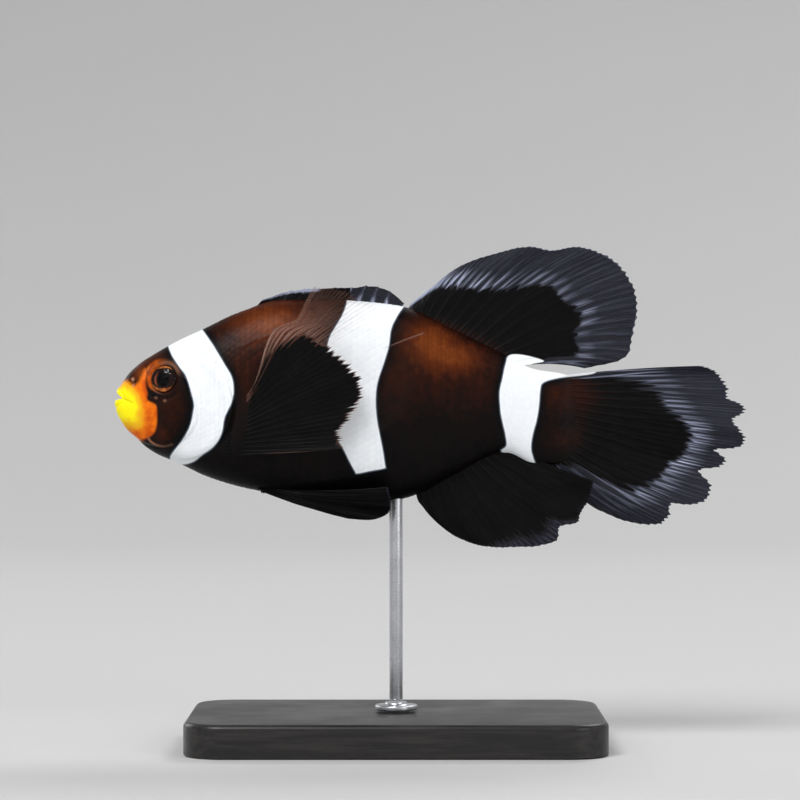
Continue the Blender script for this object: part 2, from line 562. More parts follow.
# ---------------------------------------------------------------- shader helpers
class Sheet:
    """Adds nodes to a tree from left to right and joins them. A value may be a socket or a constant."""

    def __init__(self, tree):
        self.tree = tree
        self.place = 0

    def add(self, kind, inputs=None, **settings):
        """A node with its inputs joined and its settings made."""
        node = self.tree.nodes.new(kind)
        node.location = (180 * (self.place % 12), -220 * (self.place // 12))
        self.place += 1
        for name, value in settings.items():
            setattr(node, name, value)
        for key, value in (inputs or {}).items():
            self.join(value, node.inputs[key])
        return node

    def join(self, value, socket):
        """Links a socket, or sets a constant. A colour of three numbers is made solid."""
        if isinstance(value, bpy.types.NodeSocket):
            self.tree.links.new(value, socket)
        elif socket.type == "RGBA":
            socket.default_value = (*value, 1) if len(value) == 3 else value
        else:
            socket.default_value = value

    def math(self, operation, a, b=0.0, clamp=False):
        """a and b put through one operation."""
        return self.add("ShaderNodeMath", {0: a, 1: b}, operation=operation, use_clamp=clamp).outputs[0]

    def swing(self, value, amount):
        """amount (value - 1/2): a value from 0 to 1 made to swing about 0."""
        return self.math("MULTIPLY", self.math("SUBTRACT", value, 0.5), amount)

    def remap(self, value, low, high, to_low=0.0, to_high=1.0):
        """to_low where value is below low, to_high above high, and a smooth step between."""
        inputs = {0: value, 1: low, 2: high, 3: to_low, 4: to_high}
        return self.add("ShaderNodeMapRange", inputs, interpolation_type="SMOOTHSTEP").outputs[0]

    def mix(self, share, a, b):
        """Colour a where share is 0, b where it is 1."""
        node = self.add("ShaderNodeMix", data_type="RGBA")
        for key, value in ((0, share), (6, a), (7, b)):
            self.join(value, node.inputs[key])
        return node.outputs[2]

    def ramp(self, value, stops):
        """A colour read from stops, each (value, colour)."""
        node = self.add("ShaderNodeValToRGB", {0: value})
        elements = node.color_ramp.elements
        while len(elements) < len(stops):
            elements.new(0.5)
        for element, (position, colour) in zip(elements, stops):
            element.position = position
            element.color = (*colour, 1)
        return node.outputs[0]

    def noise(self, vector, scale, detail=3.0, roughness=0.5):
        """Smooth noise from 0 to 1, scale cells to a metre."""
        inputs = {"Vector": vector, "Scale": scale, "Detail": detail, "Roughness": roughness}
        return self.add("ShaderNodeTexNoise", inputs).outputs[0]

    def field(self, name):
        """A number that the mesh carries at its points."""
        return self.add("ShaderNodeAttribute", attribute_name=name).outputs["Fac"]

    def position(self):
        """The point's place in metres."""
        return self.add("ShaderNodeTexCoord").outputs["Object"]

    def relief(self, shader, height, distance, strength):
        """Fine relief: height in steps of distance, in metres, fed to the shader's normal."""
        bump = self.add("ShaderNodeBump", {"Height": height, "Distance": distance, "Strength": strength})
        self.join(bump.outputs[0], shader.inputs["Normal"])


def new_group(name, inputs, outputs):
    """A shader node group with named sockets. inputs and outputs are (name, kind) pairs."""
    tree = bpy.data.node_groups.new(name, "ShaderNodeTree")
    for way, sockets in (("INPUT", inputs), ("OUTPUT", outputs)):
        for socket, kind in sockets:
            tree.interface.new_socket(socket, in_out=way, socket_type=f"NodeSocket{kind}")
    sheet = Sheet(tree)
    return tree, sheet, sheet.add("NodeGroupInput").outputs, sheet.add("NodeGroupOutput").inputs


def new_material(name, **constants):
    """A material with one Principled shader, its constant sockets set on the shader itself."""
    material = bpy.data.materials.new(name)
    material.use_nodes = True
    sheet = Sheet(material.node_tree)
    shader = material.node_tree.nodes["Principled BSDF"]
    for socket, value in constants.items():
        shader.inputs[socket.replace("_", " ")].default_value = value
    return material, sheet, shader


def hide_group():
    """Colour, roughness and fine relief of the fish's skin, from the fields that its pieces carry."""
    name = "Clownfish hide"
    if name in bpy.data.node_groups:
        return bpy.data.node_groups[name]
    body_colours = bpy.context.scene.clownfish_body
    sockets = [(field.title(), "Float") for field in HIDE_FIELDS]
    sockets += [("Tone", "Float"), ("Position", "Vector")]
    results = [("Color", "Color"), ("Roughness", "Float"), ("Height", "Float")]
    tree, sheet, given, result = new_group(name, sockets, results)
    grain = sheet.noise(given["Position"], 900.0, 4.0, 0.6)
    mottle = sheet.noise(given["Position"], 260.0, 3.0, 0.55)
    tall = sheet.add("ShaderNodeMapping", {"Vector": given["Position"], "Scale": (900, 300, 130)}).outputs[0]
    streak = sheet.noise(tall, 1.0, 3.0, 0.55)
    wobble = sheet.swing(mottle, 0.55)
    warm = sheet.math("ADD", given["Warm"], sheet.math("MULTIPLY", wobble, 0.32))
    warm = sheet.math("ADD", warm, sheet.swing(streak, 0.18))
    warm = sheet.math("ADD", warm, sheet.swing(given["Tone"], 0.10))
    brown = sheet.ramp(
        warm,
        [
            (0.0, srgb(4, 3, 4)),
            (0.22, srgb(15, 7, 5)),
            (0.44, srgb(42, 15, 5)),
            (0.70, srgb(82, 34, 9)),
            (1.0, tuple(body_colours.back_colour)),
        ],
    )
    # A black line runs along every band, with a cold sheen where it meets the white.
    edge = sheet.math("ADD", given["Band"], sheet.math("MULTIPLY", wobble, 0.35))
    dark = sheet.remap(edge, -2.5, -0.40, 0.0, 0.88)
    brown = sheet.mix(dark, brown, srgb(5, 5, 7))
    blotch = sheet.noise(given["Position"], 520.0, 3.0, 0.6)
    orange = sheet.mix(sheet.remap(blotch, 0.36, 0.64), srgb(200, 80, 8), srgb(234, 116, 16))
    face = sheet.mix(given["Orange"], brown, orange)
    yellow = sheet.ramp(
        sheet.math("ADD", given["Yellow"], sheet.swing(blotch, 0.5)),
        [
            (0.0, srgb(218, 100, 14)),
            (0.22, srgb(236, 146, 24)),
            (0.46, srgb(240, 186, 30)),
            (0.70, tuple(body_colours.lip_colour)),
        ],
    )
    face = sheet.mix(sheet.remap(given["Yellow"], 0.0, 0.3), face, yellow)
    face = sheet.mix(given["Pale"], face, srgb(206, 142, 108))
    face = sheet.mix(given["Shade"], face, srgb(7, 5, 6))
    cold = sheet.mix(sheet.remap(edge, -0.40, -0.10), face, srgb(70, 80, 94))
    pearl = srgb(205, 214, 224)
    white = sheet.mix(sheet.remap(given["Tone"], 0.0, 1.0, 0.0, 0.14), body_colours.band_colour, pearl)
    colour = sheet.mix(sheet.remap(edge, -0.14, 0.16), cold, white)
    sheet.join(colour, result["Color"])
    sheet.join(sheet.remap(grain, 0.2, 0.8, 0.36, 0.52), result["Roughness"])
    sheet.join(sheet.math("MULTIPLY", grain, 0.5), result["Height"])
    return tree


def wear_hide(sheet, shader, tone, rim=None):
    """Feeds a material's shader from the hide group. rim darkens the colour where a scale is covered."""
    coords = sheet.position()
    hide = sheet.add("ShaderNodeGroup", node_tree=hide_group())
    for field in HIDE_FIELDS:
        sheet.join(sheet.field(field), hide.inputs[field.title()])
    sheet.join(tone, hide.inputs["Tone"])
    sheet.join(coords, hide.inputs["Position"])
    colour = hide.outputs["Color"]
    if rim is not None:
        colour = sheet.mix(rim, colour, srgb(10, 8, 8))
    sheet.join(colour, shader.inputs["Base Color"])
    sheet.join(hide.outputs["Roughness"], shader.inputs["Roughness"])
    sheet.relief(shader, hide.outputs["Height"], 0.00003, 0.6)


# ---------------------------------------------------------------- skin and scales
def skin_material():
    """Bare wet skin: the hide's colours under a thin gloss."""
    constants = {"Coat_Weight": 0.09, "Coat_Roughness": 0.12, "Specular_IOR_Level": 0.06}
    material, sheet, shader = new_material("wet skin", **constants)
    wear_hide(sheet, shader, 0.5)
    return material


def scale_material():
    """Scales: the hide's colours, a shade darker at their covered root and along their thin rim."""
    constants = {"Coat_Weight": 0.035, "Coat_Roughness": 0.24, "Specular_IOR_Level": 0.06}
    material, sheet, shader = new_material("scales", **constants)
    rim = sheet.remap(sheet.field("rim"), 0.60, 1.0, 0.0, 0.20)
    rim = sheet.math("MULTIPLY", rim, sheet.remap(sheet.field("band"), -0.1, 0.2, 1.0, 0.12))
    wear_hide(sheet, shader, sheet.field("tone"), rim=rim)
    return material


def skin_path(settings):
    """Ring places: close together on the head, wider on the trunk."""
    knots = np.array([SKIN_START, PATH[7], 36.0, 62.0, SKIN_END])
    head, trunk = settings.head_rings, settings.trunk_rings
    counts = (head // 4, head * 3 // 4, trunk // 3, trunk * 2 // 3)
    spans = [np.linspace(a, b, n, endpoint=False) for a, b, n in zip(knots, knots[1:], counts)]
    return np.concatenate([*spans, [SKIN_END]])[1:]


def make_skin(settings):
    """The skin as a closed surface of (path, turn), from a pole deep in the mouth to one in the tail's root:
    body(path, turn), sunk under the scales behind the lips."""
    path, turns = skin_path(settings), settings.skin_columns
    turn = np.linspace(0, 1, turns, endpoint=False)
    at_path, at_turn = np.meshgrid(path, turn, indexing="ij")
    lift = -settings.skin_depth / PERCENT * ramp(at_path, PATH[7], PATH[8])
    poles = plain_body(np.array([SKIN_START, SKIN_END]), np.array([0.25, 0.25]))
    poles[:, 1] = 0
    points = np.concatenate([body(at_path, at_turn, lift).reshape(-1, 3), poles])
    quads = grid_quads(len(path), turns, wrap=True)
    caps = pole_fans(len(path), turns, len(points) - 2, len(points) - 1)
    share = (path - SKIN_START) / (SKIN_END - SKIN_START)
    ring = np.arange(turns)
    i, j = np.repeat(np.arange(len(path) - 1), turns), np.tile(ring, len(path) - 1)
    corners = [(i, j), (i, j + 1), (i + 1, j + 1), (i + 1, j)]
    here, between, after = ring / turns, (ring + 0.5) / turns, (ring + 1) / turns
    grid_uv = corner_places([(share[row], column / turns) for row, column in corners])
    front_uv = corner_places([(0, between), (share[0], after), (share[0], here)])
    rear_uv = corner_places([(1, between), (1, here), (1, after)])
    uv = np.concatenate([grid_uv, front_uv, rear_uv])
    all_path = np.append(at_path.ravel(), [SKIN_START, SKIN_END])
    piece = new_piece("skin", place(points), quads, caps, body_fields(points, all_path), uv)
    nodes = ("head", "lower_jaw", "gill_cover_left", "gill_cover_right", "trunk", "tail_stalk")
    settle(piece, skin_material(), "skin", *nodes)


def scale_roots(settings):
    """Places of all scales: rings of a fixed number, each ring half a step round from the last, and as far
    apart as the scales are wide, so that they are smallest on the head and the tail stalk. The last column is
    how far inside the scaled skin each lies. The face, the gill cover's rim and the pectoral fin's root are
    bare."""
    path, around = girths()
    rows, here, odd = [], 11.0, False
    turns = (np.arange(settings.scales_round) + 0.25) / settings.scales_round
    while here < SKIN_END - 1.5:
        width = np.interp(here, path, around) / settings.scales_round
        length = 0.84 * width
        turn = turns + 0.5 * odd / settings.scales_round
        rows.append(np.stack(np.broadcast_arrays(here, turn, length), -1))
        here += length
        odd = not odd
    roots = np.concatenate(rows)
    points = plain_body(roots[:, 0], roots[:, 1])
    along, up = points[:, 0], points[:, 2]
    nape = along - 12.6 - 0.26 * np.abs(up - 2)
    cheek = np.minimum(np.minimum(along - 11.0, -1.4 - up), up + 10.4)
    cover = np.minimum(np.maximum(nape, cheek), eye_distance(points)[0] - 4.7)
    gill, strength = arc_offset(points, GILL_CENTRE, GILL_RADIUS, -78, 40)
    rim = np.maximum(gill - 0.6, -0.8 - gill) + 3 * (1 - strength)
    root = np.maximum(along - 30.2 - 0.24 * (up + 6), np.maximum(-0.8 - gill, np.abs(up + 6.2) - 6.6))
    cover = np.minimum(np.minimum(cover, rim), root)
    chance = np.random.default_rng(5).random(len(roots))
    cover[chance > ramp(roots[:, 0], SKIN_END - 1.5, SKIN_END - 8.0) + 0.05] = -1
    return np.concatenate([roots, cover[:, None]], 1)[cover > 0]


def make_scales(settings, side):
    """One side's scales in one piece. Each is a thin lens: a grid of (a, b), a from its root to its free edge
    and b across it, its half width sqrt(1 - ((a - 0.45) / 0.55)^2) behind the middle and its top rising
    with a, closed by a fan below."""
    rng = np.random.default_rng(20 + side)
    roots = scale_roots(settings)
    middle = np.mod(roots[:, 1], 1.0)
    roots = roots[(middle < 0.5) if side > 0 else (middle >= 0.5)]
    rows, columns = 6, 5
    a, b = np.meshgrid(np.linspace(0, 1, rows), np.linspace(-1, 1, columns), indexing="ij")
    behind = np.clip((a - 0.45) / 0.55, 0, 1)
    spread = np.where(a > 0.45, np.sqrt(np.maximum(1 - 0.93 * behind**2.4, 0)), 0.72 + 0.28 * a / 0.45)
    count = len(roots)
    length = roots[:, 2, None, None] * (1.62 + 0.10 * rng.standard_normal((count, 1, 1)).clip(-1, 1))
    path = roots[:, 0, None, None] + (a[None] - 0.4) * length * (1 - 0.06 * b[None] ** 2)
    turn = roots[:, 1, None, None] + b[None] * spread[None] * 0.64 / settings.scales_round
    lift, depth = settings.scale_lift / PERCENT, settings.skin_depth / PERCENT
    settled = ramp(roots[:, 0], SKIN_END, SKIN_END - 9.0) * ramp(roots[:, 3], -0.2, 1.6)
    settled = settled[:, None, None]
    size = np.clip(roots[:, 2, None, None] / 1.6, 0.35, 1.0) * settled
    height = size * lift * (1.5 * a[None] - 0.55 * b[None] ** 2) - depth * (1 - 0.55 * a[None] * settled)
    wobble = 1 + 0.25 * rng.standard_normal((count, 1, 1)).clip(-1.5, 1.5)
    tops = body(np.clip(path, SKIN_START, SKIN_END - 0.2), turn, height * np.where(height > 0, wobble, 1))
    low = body(roots[:, 0], roots[:, 1], -2.2 * depth)[:, None, :]
    per = rows * columns + 1
    points = np.concatenate([tops.reshape(count, -1, 3), low], 1)
    index = np.arange(rows * columns).reshape(rows, columns)
    rim = np.concatenate([index[0, :-1], index[:-1, -1], index[-1, :0:-1], index[:0:-1, 0]])
    fan = np.stack([rim, np.full(len(rim), per - 1), np.roll(rim, -1)], -1)
    starts = (np.arange(count) * per)[:, None, None]
    quads = (grid_quads(rows, columns)[None] + starts).reshape(-1, 4)
    fans = (fan[None] + starts).reshape(-1, 3)
    fields = body_fields(points)
    tone = np.repeat(rng.random(count)[:, None], per, 1)
    edge = np.concatenate([np.maximum(a, np.abs(b) * spread).ravel(), [1.0]])
    fields.update(tone=tone, rim=np.repeat(edge[None], count, 0))
    patch = 0.003  # side of the square of texture that each scale takes up
    root_uv = np.stack([(roots[:, 0] - SKIN_START) / (SKIN_END - SKIN_START), np.mod(roots[:, 1], 1.0)], -1)
    local = np.concatenate([np.stack([a - 0.5, b / 2], -1).reshape(-1, 2), [[0.0, 0.0]]]) * patch
    uv = (root_uv[:, None, :] * (1 - patch) + patch / 2 + local[None]).reshape(-1, 2)
    corner_uv = np.concatenate([uv[quads.ravel()], uv[fans.ravel()]])
    flat = np.zeros(len(quads), bool)
    name = f"scales_{SIDES[side]}"
    piece = new_piece(name, place(points.reshape(-1, 3)), quads, fans, fields, corner_uv, flat)
    piece.data.set_sharp_from_angle(angle=math.radians(50))
    material = bpy.data.materials.get("scales") or scale_material()
    settle(piece, material, "skin")


# ---------------------------------------------------------------- fins
def ray_fan(base, margin, t, r, bow):
    """Side view of a fin. Rays run from the base curve to the margin curve, each bowed by bow of its length:
    point = base + r run + bow 4 r (1 - r) (run turned a quarter)."""
    base, margin = np.asarray(base, float), np.asarray(margin, float)
    start, end = through(base[:, 0], base[:, 1:], t), through(margin[:, 0], margin[:, 1:], t)
    run = end - start
    curve = (bow * 4 * r * (1 - r))[..., None]
    point = start + run * r[..., None] + np.stack([-run[..., 1], run[..., 0]], -1) * curve
    return point[..., 0], point[..., 1]


def wavelets(t, r, seed, amount):
    """Small folds that grow towards the margin: three sines of t and r with seeded phases."""
    rng = np.random.default_rng(seed)
    total = np.zeros(np.broadcast(t, r).shape)
    for turns, lean in ((3.1, 0.4), (5.3, -0.8), (8.7, 0.6)):
        total = total + np.sin(2 * np.pi * (turns * t + lean * r + rng.random())) / turns
    return amount * 2.2 * total * np.clip(r, 0, 1) ** 1.7


def spiny_dorsal(t, r):
    """The spiny dorsal: a ray fan, swung to either side by a sine of t."""
    base = ((0, 31.5, 19.6), (0.5, 48, 20.6), (1, 64, 18.9))
    margin = (
        (0, 33.5, 22.2), (0.2, 39.5, 24.2), (0.45, 48, 24.9), (0.6, 53.5, 25.0),
        (0.82, 60.0, 25.2), (0.93, 63.0, 23.6), (1, 65.2, 21.4),
    )
    along, up = ray_fan(base, margin, t, r, 0.06 + 0 * r)
    return np.stack([along, 0.5 * r * np.sin(3 * np.pi * t) + wavelets(t, r, 1, 0.12), up], -1)


def soft_dorsal(t, r):
    """The soft dorsal: a ray fan, swung by a sine of t in front and curled to the right behind."""
    margin = (
        (0, 66.6, 21.2), (0.1, 70.8, 24.6), (0.2, 77.5, 29.6), (0.31, 86.5, 32.8), (0.42, 94.6, 34.0),
        (0.46, 97.6, 33.3), (0.56, 104.5, 34.1), (0.65, 110.8, 32.1), (0.73, 115.6, 28.0),
        (0.80, 118.0, 22.4), (0.87, 117.2, 16.0), (0.94, 115.0, 9.0), (1, 106.0, 6.6),
    )
    along, up = ray_fan(SOFT_DORSAL_BASE, margin, t, r, 0.05 + 0 * r)
    sway = np.clip(r, 0, 1) ** 1.5 * (1.9 * np.sin(2 * np.pi * (1.1 * t + 0.25)) * (1 - t) + 2.4 * t**3 * r)
    return np.stack([along, sway + wavelets(t, r, 2, 0.42), up], -1)


def anal_fin(t, r):
    """The anal fin: a ray fan, swung by a sine of t in front and curled to the left behind."""
    base = ((0, 67.6, -20.0), (0.35, 73.5, -16.6), (0.7, 80.5, -13.2), (1, 87.2, -11.0))
    margin = (
        (0, 68.2, -23.2), (0.12, 71.5, -27.2), (0.27, 77.0, -31.4), (0.4, 83.0, -33.4),
        (0.5, 89.0, -33.6), (0.59, 95.6, -33.2), (0.645, 99.4, -31.9), (0.68, 99.9, -30.0),
        (0.71, 100.2, -28.9), (0.76, 103.6, -28.1), (0.83, 104.9, -25.8), (0.91, 106.8, -22.4),
        (1, 107.6, -18.6),
    )
    along, up = ray_fan(base, margin, t, r, -0.05 * (1 - t**3))
    sway = np.clip(r, 0, 1) ** 1.4 * (1.3 * np.sin(2 * np.pi * (1.2 * t + 0.05)) * (1 - t) - 3.1 * t**2)
    return np.stack([along, sway + wavelets(t, r, 3, 0.4), up], -1)


def caudal_fin(t, r):
    """The tail fin: a ray fan that leans from one side to the other down its height, with two folds."""
    base = ((0, 97.5, 4.6), (0.25, 98.6, 0.6), (0.5, 99.0, -4.2), (0.75, 98.6, -9.0), (1, 95.6, -13.6))
    margin = (
        (0, 132.5, 7.2), (0.08, 136.4, 5.4), (0.14, 138.3, 2.4), (0.19, 138.6, -0.2), (0.235, 141.7, -1.6),
        (0.275, 141.9, -3.4), (0.315, 139.5, -4.8), (0.41, 142.3, -9.4), (0.455, 140.4, -11.3),
        (0.495, 135.6, -11.7), (0.535, 138.2, -14.2), (0.565, 137.2, -15.5), (0.605, 132.2, -16.4),
        (0.65, 134.9, -20.0), (0.70, 133.4, -23.0), (0.745, 129.8, -24.2), (0.785, 125.4, -23.9),
        (0.835, 124.9, -27.2), (0.875, 122.6, -28.5), (0.94, 115.6, -28.0), (1, 108.6, -25.2),
    )
    along, up = ray_fan(base, margin, t, r, 0.015 - 0.06 * t)
    sway = np.clip(r, 0, 1) ** 1.6 * (-1.6 + 3.4 * t + 1.5 * np.sin(2 * np.pi * 2.2 * t))
    return np.stack([along, sway + wavelets(t, r, 4, 0.4), up], -1)


def pectoral_fin(side, spread):
    """Maker of one pectoral fin, which stands out from the flank by spread, a share of its length."""

    def shape(t, r):
        """A ray fan that starts on the flank and stands out by length spread (r - 0.25 r^2)."""
        base = ((0, 29.6, -0.6), (0.5, 28.2, -6.4), (1, 26.3, -12.6))
        margin = (
            (0, 45.4, 24.6), (0.12, 51.6, 23.8), (0.26, 59.6, 20.0), (0.42, 70.4, 14.6), (0.55, 69.6, 7.0),
            (0.68, 66.6, -0.6), (0.8, 61.6, -6.8), (0.9, 55.4, -10.4), (1, 48.6, -11.4),
        )
        shoulder = 0.088 * ramp(r, 0.05, 0.54) * ramp(r, 0.74, 0.56) - 0.024 * hump(r, 0.76, 0.10)
        bow = 0.055 * (1 - 1.2 * t) * ramp(t, 0.0, 0.25) + shoulder * ramp(t, 0.24, 0.0)
        along, up = ray_fan(base, margin, t, r, bow)
        start = through([row[0] for row in base], [row[1:] for row in base], t)
        length = 26 + 10 * np.sin(np.pi * np.clip(t + 0.08, 0, 1))
        ripple = 0.9 * np.clip(r, 0, 1) ** 2 * np.sin(2 * np.pi * (2.3 * t + 0.2))
        out = flank(start[..., 0], start[..., 1]) - 0.6 + length * spread * (r - 0.25 * r**2) + ripple
        return np.stack([along, side * (out + wavelets(t, r, 6 + side, 0.3)), up], -1)

    return shape


def pelvic_fin(side):
    """Maker of one pelvic fin, folded back along the belly."""

    def shape(t, r):
        """A ray fan that stands out by a power of r, further for the rays behind."""
        base = ((0, 33.0, -20.6), (1, 36.0, -20.3))
        margin = (
            (0, 52.6, -26.9), (0.25, 58.0, -27.1), (0.5, 61.4, -25.8), (0.75, 62.4, -23.4), (1, 61.6, -19.6),
        )
        along, up = ray_fan(base, margin, t, r, -0.02 + 0 * r)
        reach = np.clip(r, 0, 1)
        out = 2.2 + (2.4 + 6.2 * t) * reach**0.6 + 0.4 * reach * np.sin(2 * np.pi * 1.5 * t)
        return np.stack([along, side * (out + wavelets(t, r, 10 + side, 0.15)), up], -1)

    return shape


def no_veil(t, reach):
    """The margin shows everywhere."""
    return np.ones_like(t)


def pale_tips(t, reach):
    """A thin pale edge."""
    return 0.45 * ramp(reach, 0.975, 1.0)


FAR_FROM_BAND = -9.0
PLAIN_FIN = {
    "rows": 80,  # points along each ray
    "finer": 0,  # points across each ray, beyond the setting
    "splits": (0.28, 0.55),  # where along a ray it splits in two, and in four
    "ragged": 0.035,  # how far the torn margin falls back
    "ray_scale": 1.0,  # the rays' thickness, as a share of the setting
    "root": 0.45,  # half thickness added at the root, in millimetres
    "root_length": 0.06,  # how far along the ray it fades
    "joints": 300.0,  # how closely the rays are jointed
    "jag": 0.6,  # how ragged the black's edge is, in percent
    "teeth": 0.8,  # how far the black runs out along the rays, in percent
    "warm_to": 0.5,  # where along the ray the body's brown ends
    "streaks": (0.03, 0.25),  # where along the ray the brown breaks up into streaks
    "dark_rays": False,  # whether the brown lies between the rays only
    "band": False,  # whether a white band runs on over the fin
    "fringe": (1.0, 0.12, 5.0),  # bright rays outside the black: strength, least strength, width in percent
    "veil": no_veil,
    "edge": pale_tips,
}


def ridges(ray, reach, splits):
    """How much a ray stands out: 1 on a crest, 0 on bare skin. A ray splits in two, and each half in two
    again: the distance to the nearest branch is ||offset| - first| - second|, and the crest a bell of it."""
    offset = np.abs(ray - np.round(ray))
    first = 0.245 * ramp(reach, splits[0], splits[0] + 0.34)
    second = 0.120 * ramp(reach, splits[1], splits[1] + 0.30)
    distance = np.abs(np.abs(offset - first) - second)
    width = 0.17 - 0.115 * np.clip(reach, 0, 1)
    return np.exp(-((distance / width) ** 2))


def zigzag(ray, seed, count, per_ray=2):
    """A ragged edge across the rays: seeded numbers, per_ray of them to each, joined by straight lines."""
    rng = np.random.default_rng(seed)
    return np.interp(ray * per_ray, np.arange(per_ray * count), rng.uniform(-1, 1, per_ray * count))


def fin_reach(t, r, rays, look):
    """Where a point lies along its ray once the margin is frayed: branch tips reach out, skin falls back."""
    ray = t * (rays - 1)
    tips = 1 - ridges(ray, np.ones_like(t), look.splits)
    torn = 0.5 + 0.25 * zigzag(ray, look.seed, rays) + 0.25 * zigzag(ray, look.seed + 7, rays, 7)
    return r * (1 - look.ragged * (0.35 * tips + 0.65 * torn) * np.clip(r, 0, 1) ** 6)


def fin_half(t, reach, crest, look, settings):
    """Half a fin's thickness in percent: skin + jointed ray crest + a flare at the root. Skin and rays thin
    out towards the margin, and the sheet thins to a third at its front and rear edges."""
    fade = np.clip(1 - reach, 0, 1)
    skin = settings.skin_thickness / 2 / PERCENT * (0.45 + 0.55 * fade**0.5)
    rod = settings.ray_thickness / 2 / PERCENT * (0.16 + 0.84 * fade**0.8) * look.ray_scale
    root = look.root * MM * np.exp(-np.clip(reach, 0, 1) / look.root_length)
    joints = 1 + 0.10 * np.sin(reach * look.joints) * ramp(reach, 0.12, 0.25)
    inside = np.minimum(np.minimum(t, 1 - t) * (len(t) - 1), 1.0)
    return (skin + rod * crest * joints + root) * (0.35 + 0.65 * inside)


def fin_fields(middle, t, reach, crest, rays, black, look):
    """What a fin's material reads at each point. black is an outline or a function of (t, reach), above 0
    inside the black; its edge is jagged, and runs out along the rays."""
    ray = t * (rays - 1)
    jag = 0.3 * zigzag(ray, look.seed + 50, rays) + 0.7 * zigzag(ray, look.seed + 60, rays, 6)
    jag = jag * look.jag + look.teeth * (crest - 0.5)
    dark = (black(t, reach) if callable(black) else depth_inside(black, middle[..., 0], middle[..., 2])) + jag
    body_marks = body_fields(middle)
    streaks = 0.12 + 0.88 * (0.5 - 0.5 * np.cos(4 * np.pi * ray) if look.dark_rays else crest)
    start, end = look.streaks
    warm = body_marks["warm"] * ramp(reach, look.warm_to, 0.02)
    warm = warm * (1 + (streaks - 1) * ramp(reach, start, end))
    glow, dim, width = look.fringe
    if callable(glow):
        uneven = 1 + 0.3 * np.sin(2 * np.pi * (5.3 * t + look.seed)) + 0.3 * np.sin(17.9 * np.pi * t)
        glow = glow(t) * uneven
    return {
        "ray": crest,
        "reach": reach,
        "dark": dark,
        "warm": warm,
        "band": body_marks["band"] if look.band else np.full_like(t, FAR_FROM_BAND),
        "thread": ray,
        "veil": look.veil(t, reach),
        "fringe": np.maximum(glow * ramp(dark, -width, -0.3), dim),
        "edge": look.edge(t, reach),
    }


def sheet_quads(columns, rows):
    """Quads of a closed sheet, its second face stored after the first and in reverse: both faces and the edge
    between them, the other edge, the tip and the foot."""
    around, end = 2 * columns, rows - 1
    side = np.arange(rows - 1)
    last = (around - 1) * rows
    seam = np.stack([last + side, last + side + 1, side + 1, side], -1)
    i = np.arange(columns - 1)
    mirror = around - 1 - i
    foot = np.stack([i * rows, (i + 1) * rows, (mirror - 1) * rows, mirror * rows], -1)
    tip = foot[:, [0, 3, 2, 1]] + end
    return np.concatenate([grid_quads(around, rows), seam, tip, foot])[:, ::-1]


def make_fin(name, shape, rays, black, settings, **changes):
    """A fin as a closed thin sheet of (t, r): t runs across the rays over one face and back over the other,
    r from inside the body to the margin. Each face lies half the thickness off the middle, along the normal.
    changes are what the fin has of its own in place of PLAIN_FIN."""
    look = SimpleNamespace(**{**PLAIN_FIN, **changes})
    columns = (rays - 1) * (settings.columns_per_ray + look.finer) + 1
    t = np.linspace(0, 1, columns)[:, None] + np.zeros((1, look.rows))
    r = np.linspace(-0.03, 1, look.rows)[None, :] + np.zeros((columns, 1))
    reach = fin_reach(t, r, rays, look)
    middle = shape(t, reach)
    step = 0.004
    swing = shape(np.clip(t + step, 0, 1), reach) - shape(np.clip(t - step, 0, 1), reach)
    slide = shape(t, reach + step) - shape(t, reach - step)
    normal = unit(np.cross(swing, slide))
    crest = ridges(t * (rays - 1), reach, look.splits)
    offset = normal * fin_half(t, reach, crest, look, settings)[..., None]
    points = np.concatenate([middle + offset, (middle - offset)[::-1]])
    marks = fin_fields(middle, t, reach, crest, rays, black, look)
    fields = {key: np.concatenate([value, value[::-1]]) for key, value in marks.items()}
    u = np.concatenate([t * 0.49, 0.51 + (1 - t[::-1]) * 0.49])
    v = np.clip(np.concatenate([r, r[::-1]]), 0, 1)
    quads = sheet_quads(columns, look.rows)
    uv = np.stack([u, v], -1).reshape(-1, 2)[quads.ravel()]
    piece = new_piece(f"{name}_sheet", place(points), quads, fields=fields, uv=uv)
    settle(piece, look.material, "fin", name)


def spiny_black(t, reach):
    """Black of the spiny dorsal: below a pale rim in front, to the edge in the middle, a mere foot behind."""
    front = 0.80 - 0.09 * ramp(t, 0.16, 0.32)
    return (front + 0.40 * ramp(t, 0.38, 0.44) - 0.90 * ramp(t, 0.56, 0.66) - reach) * 9


def spiny_edge(t, reach):
    """The spiny dorsal's pale rim, in front only."""
    return (0.34 + 0.32 * ramp(t, 0.10, 0.32)) * ramp(t, 0.44, 0.38) * ramp(reach, 0.70, 0.84)


def dorsal_edge(t, reach):
    """The soft dorsal's pale front edge, and its thin tips."""
    return np.maximum(0.75 * ramp(t, 0.22, 0.10) * ramp(reach, 0.62, 0.88), 0.45 * ramp(reach, 0.975, 1.0))


def dorsal_glow(t):
    """Bright fringe outside the soft dorsal's black: strongest in front."""
    return 0.42 + 0.70 * ramp(t, 0.50, 0.30)


def caudal_glow(t):
    """Bright fringe outside the tail fin's black: weak behind the top corner, strongest at mid height."""
    return 0.62 - 0.28 * hump(t, 0.18, 0.07) + 0.45 * hump(t, 0.48, 0.12) - 0.24 * ramp(t, 0.64, 0.78)


def anal_black(t, reach):
    """Black of the anal fin: all but a thin edge, wider and softer towards the lower rear lobe."""
    wide = ramp(t, 0.40, 0.56) * ramp(t, 0.80, 0.70)
    return (0.985 - 0.10 * wide - reach) * (16 - 8 * wide)


def pelvic_black(t, reach):
    """Black of a pelvic fin: all but its thin edge."""
    return (0.985 - reach) * 26


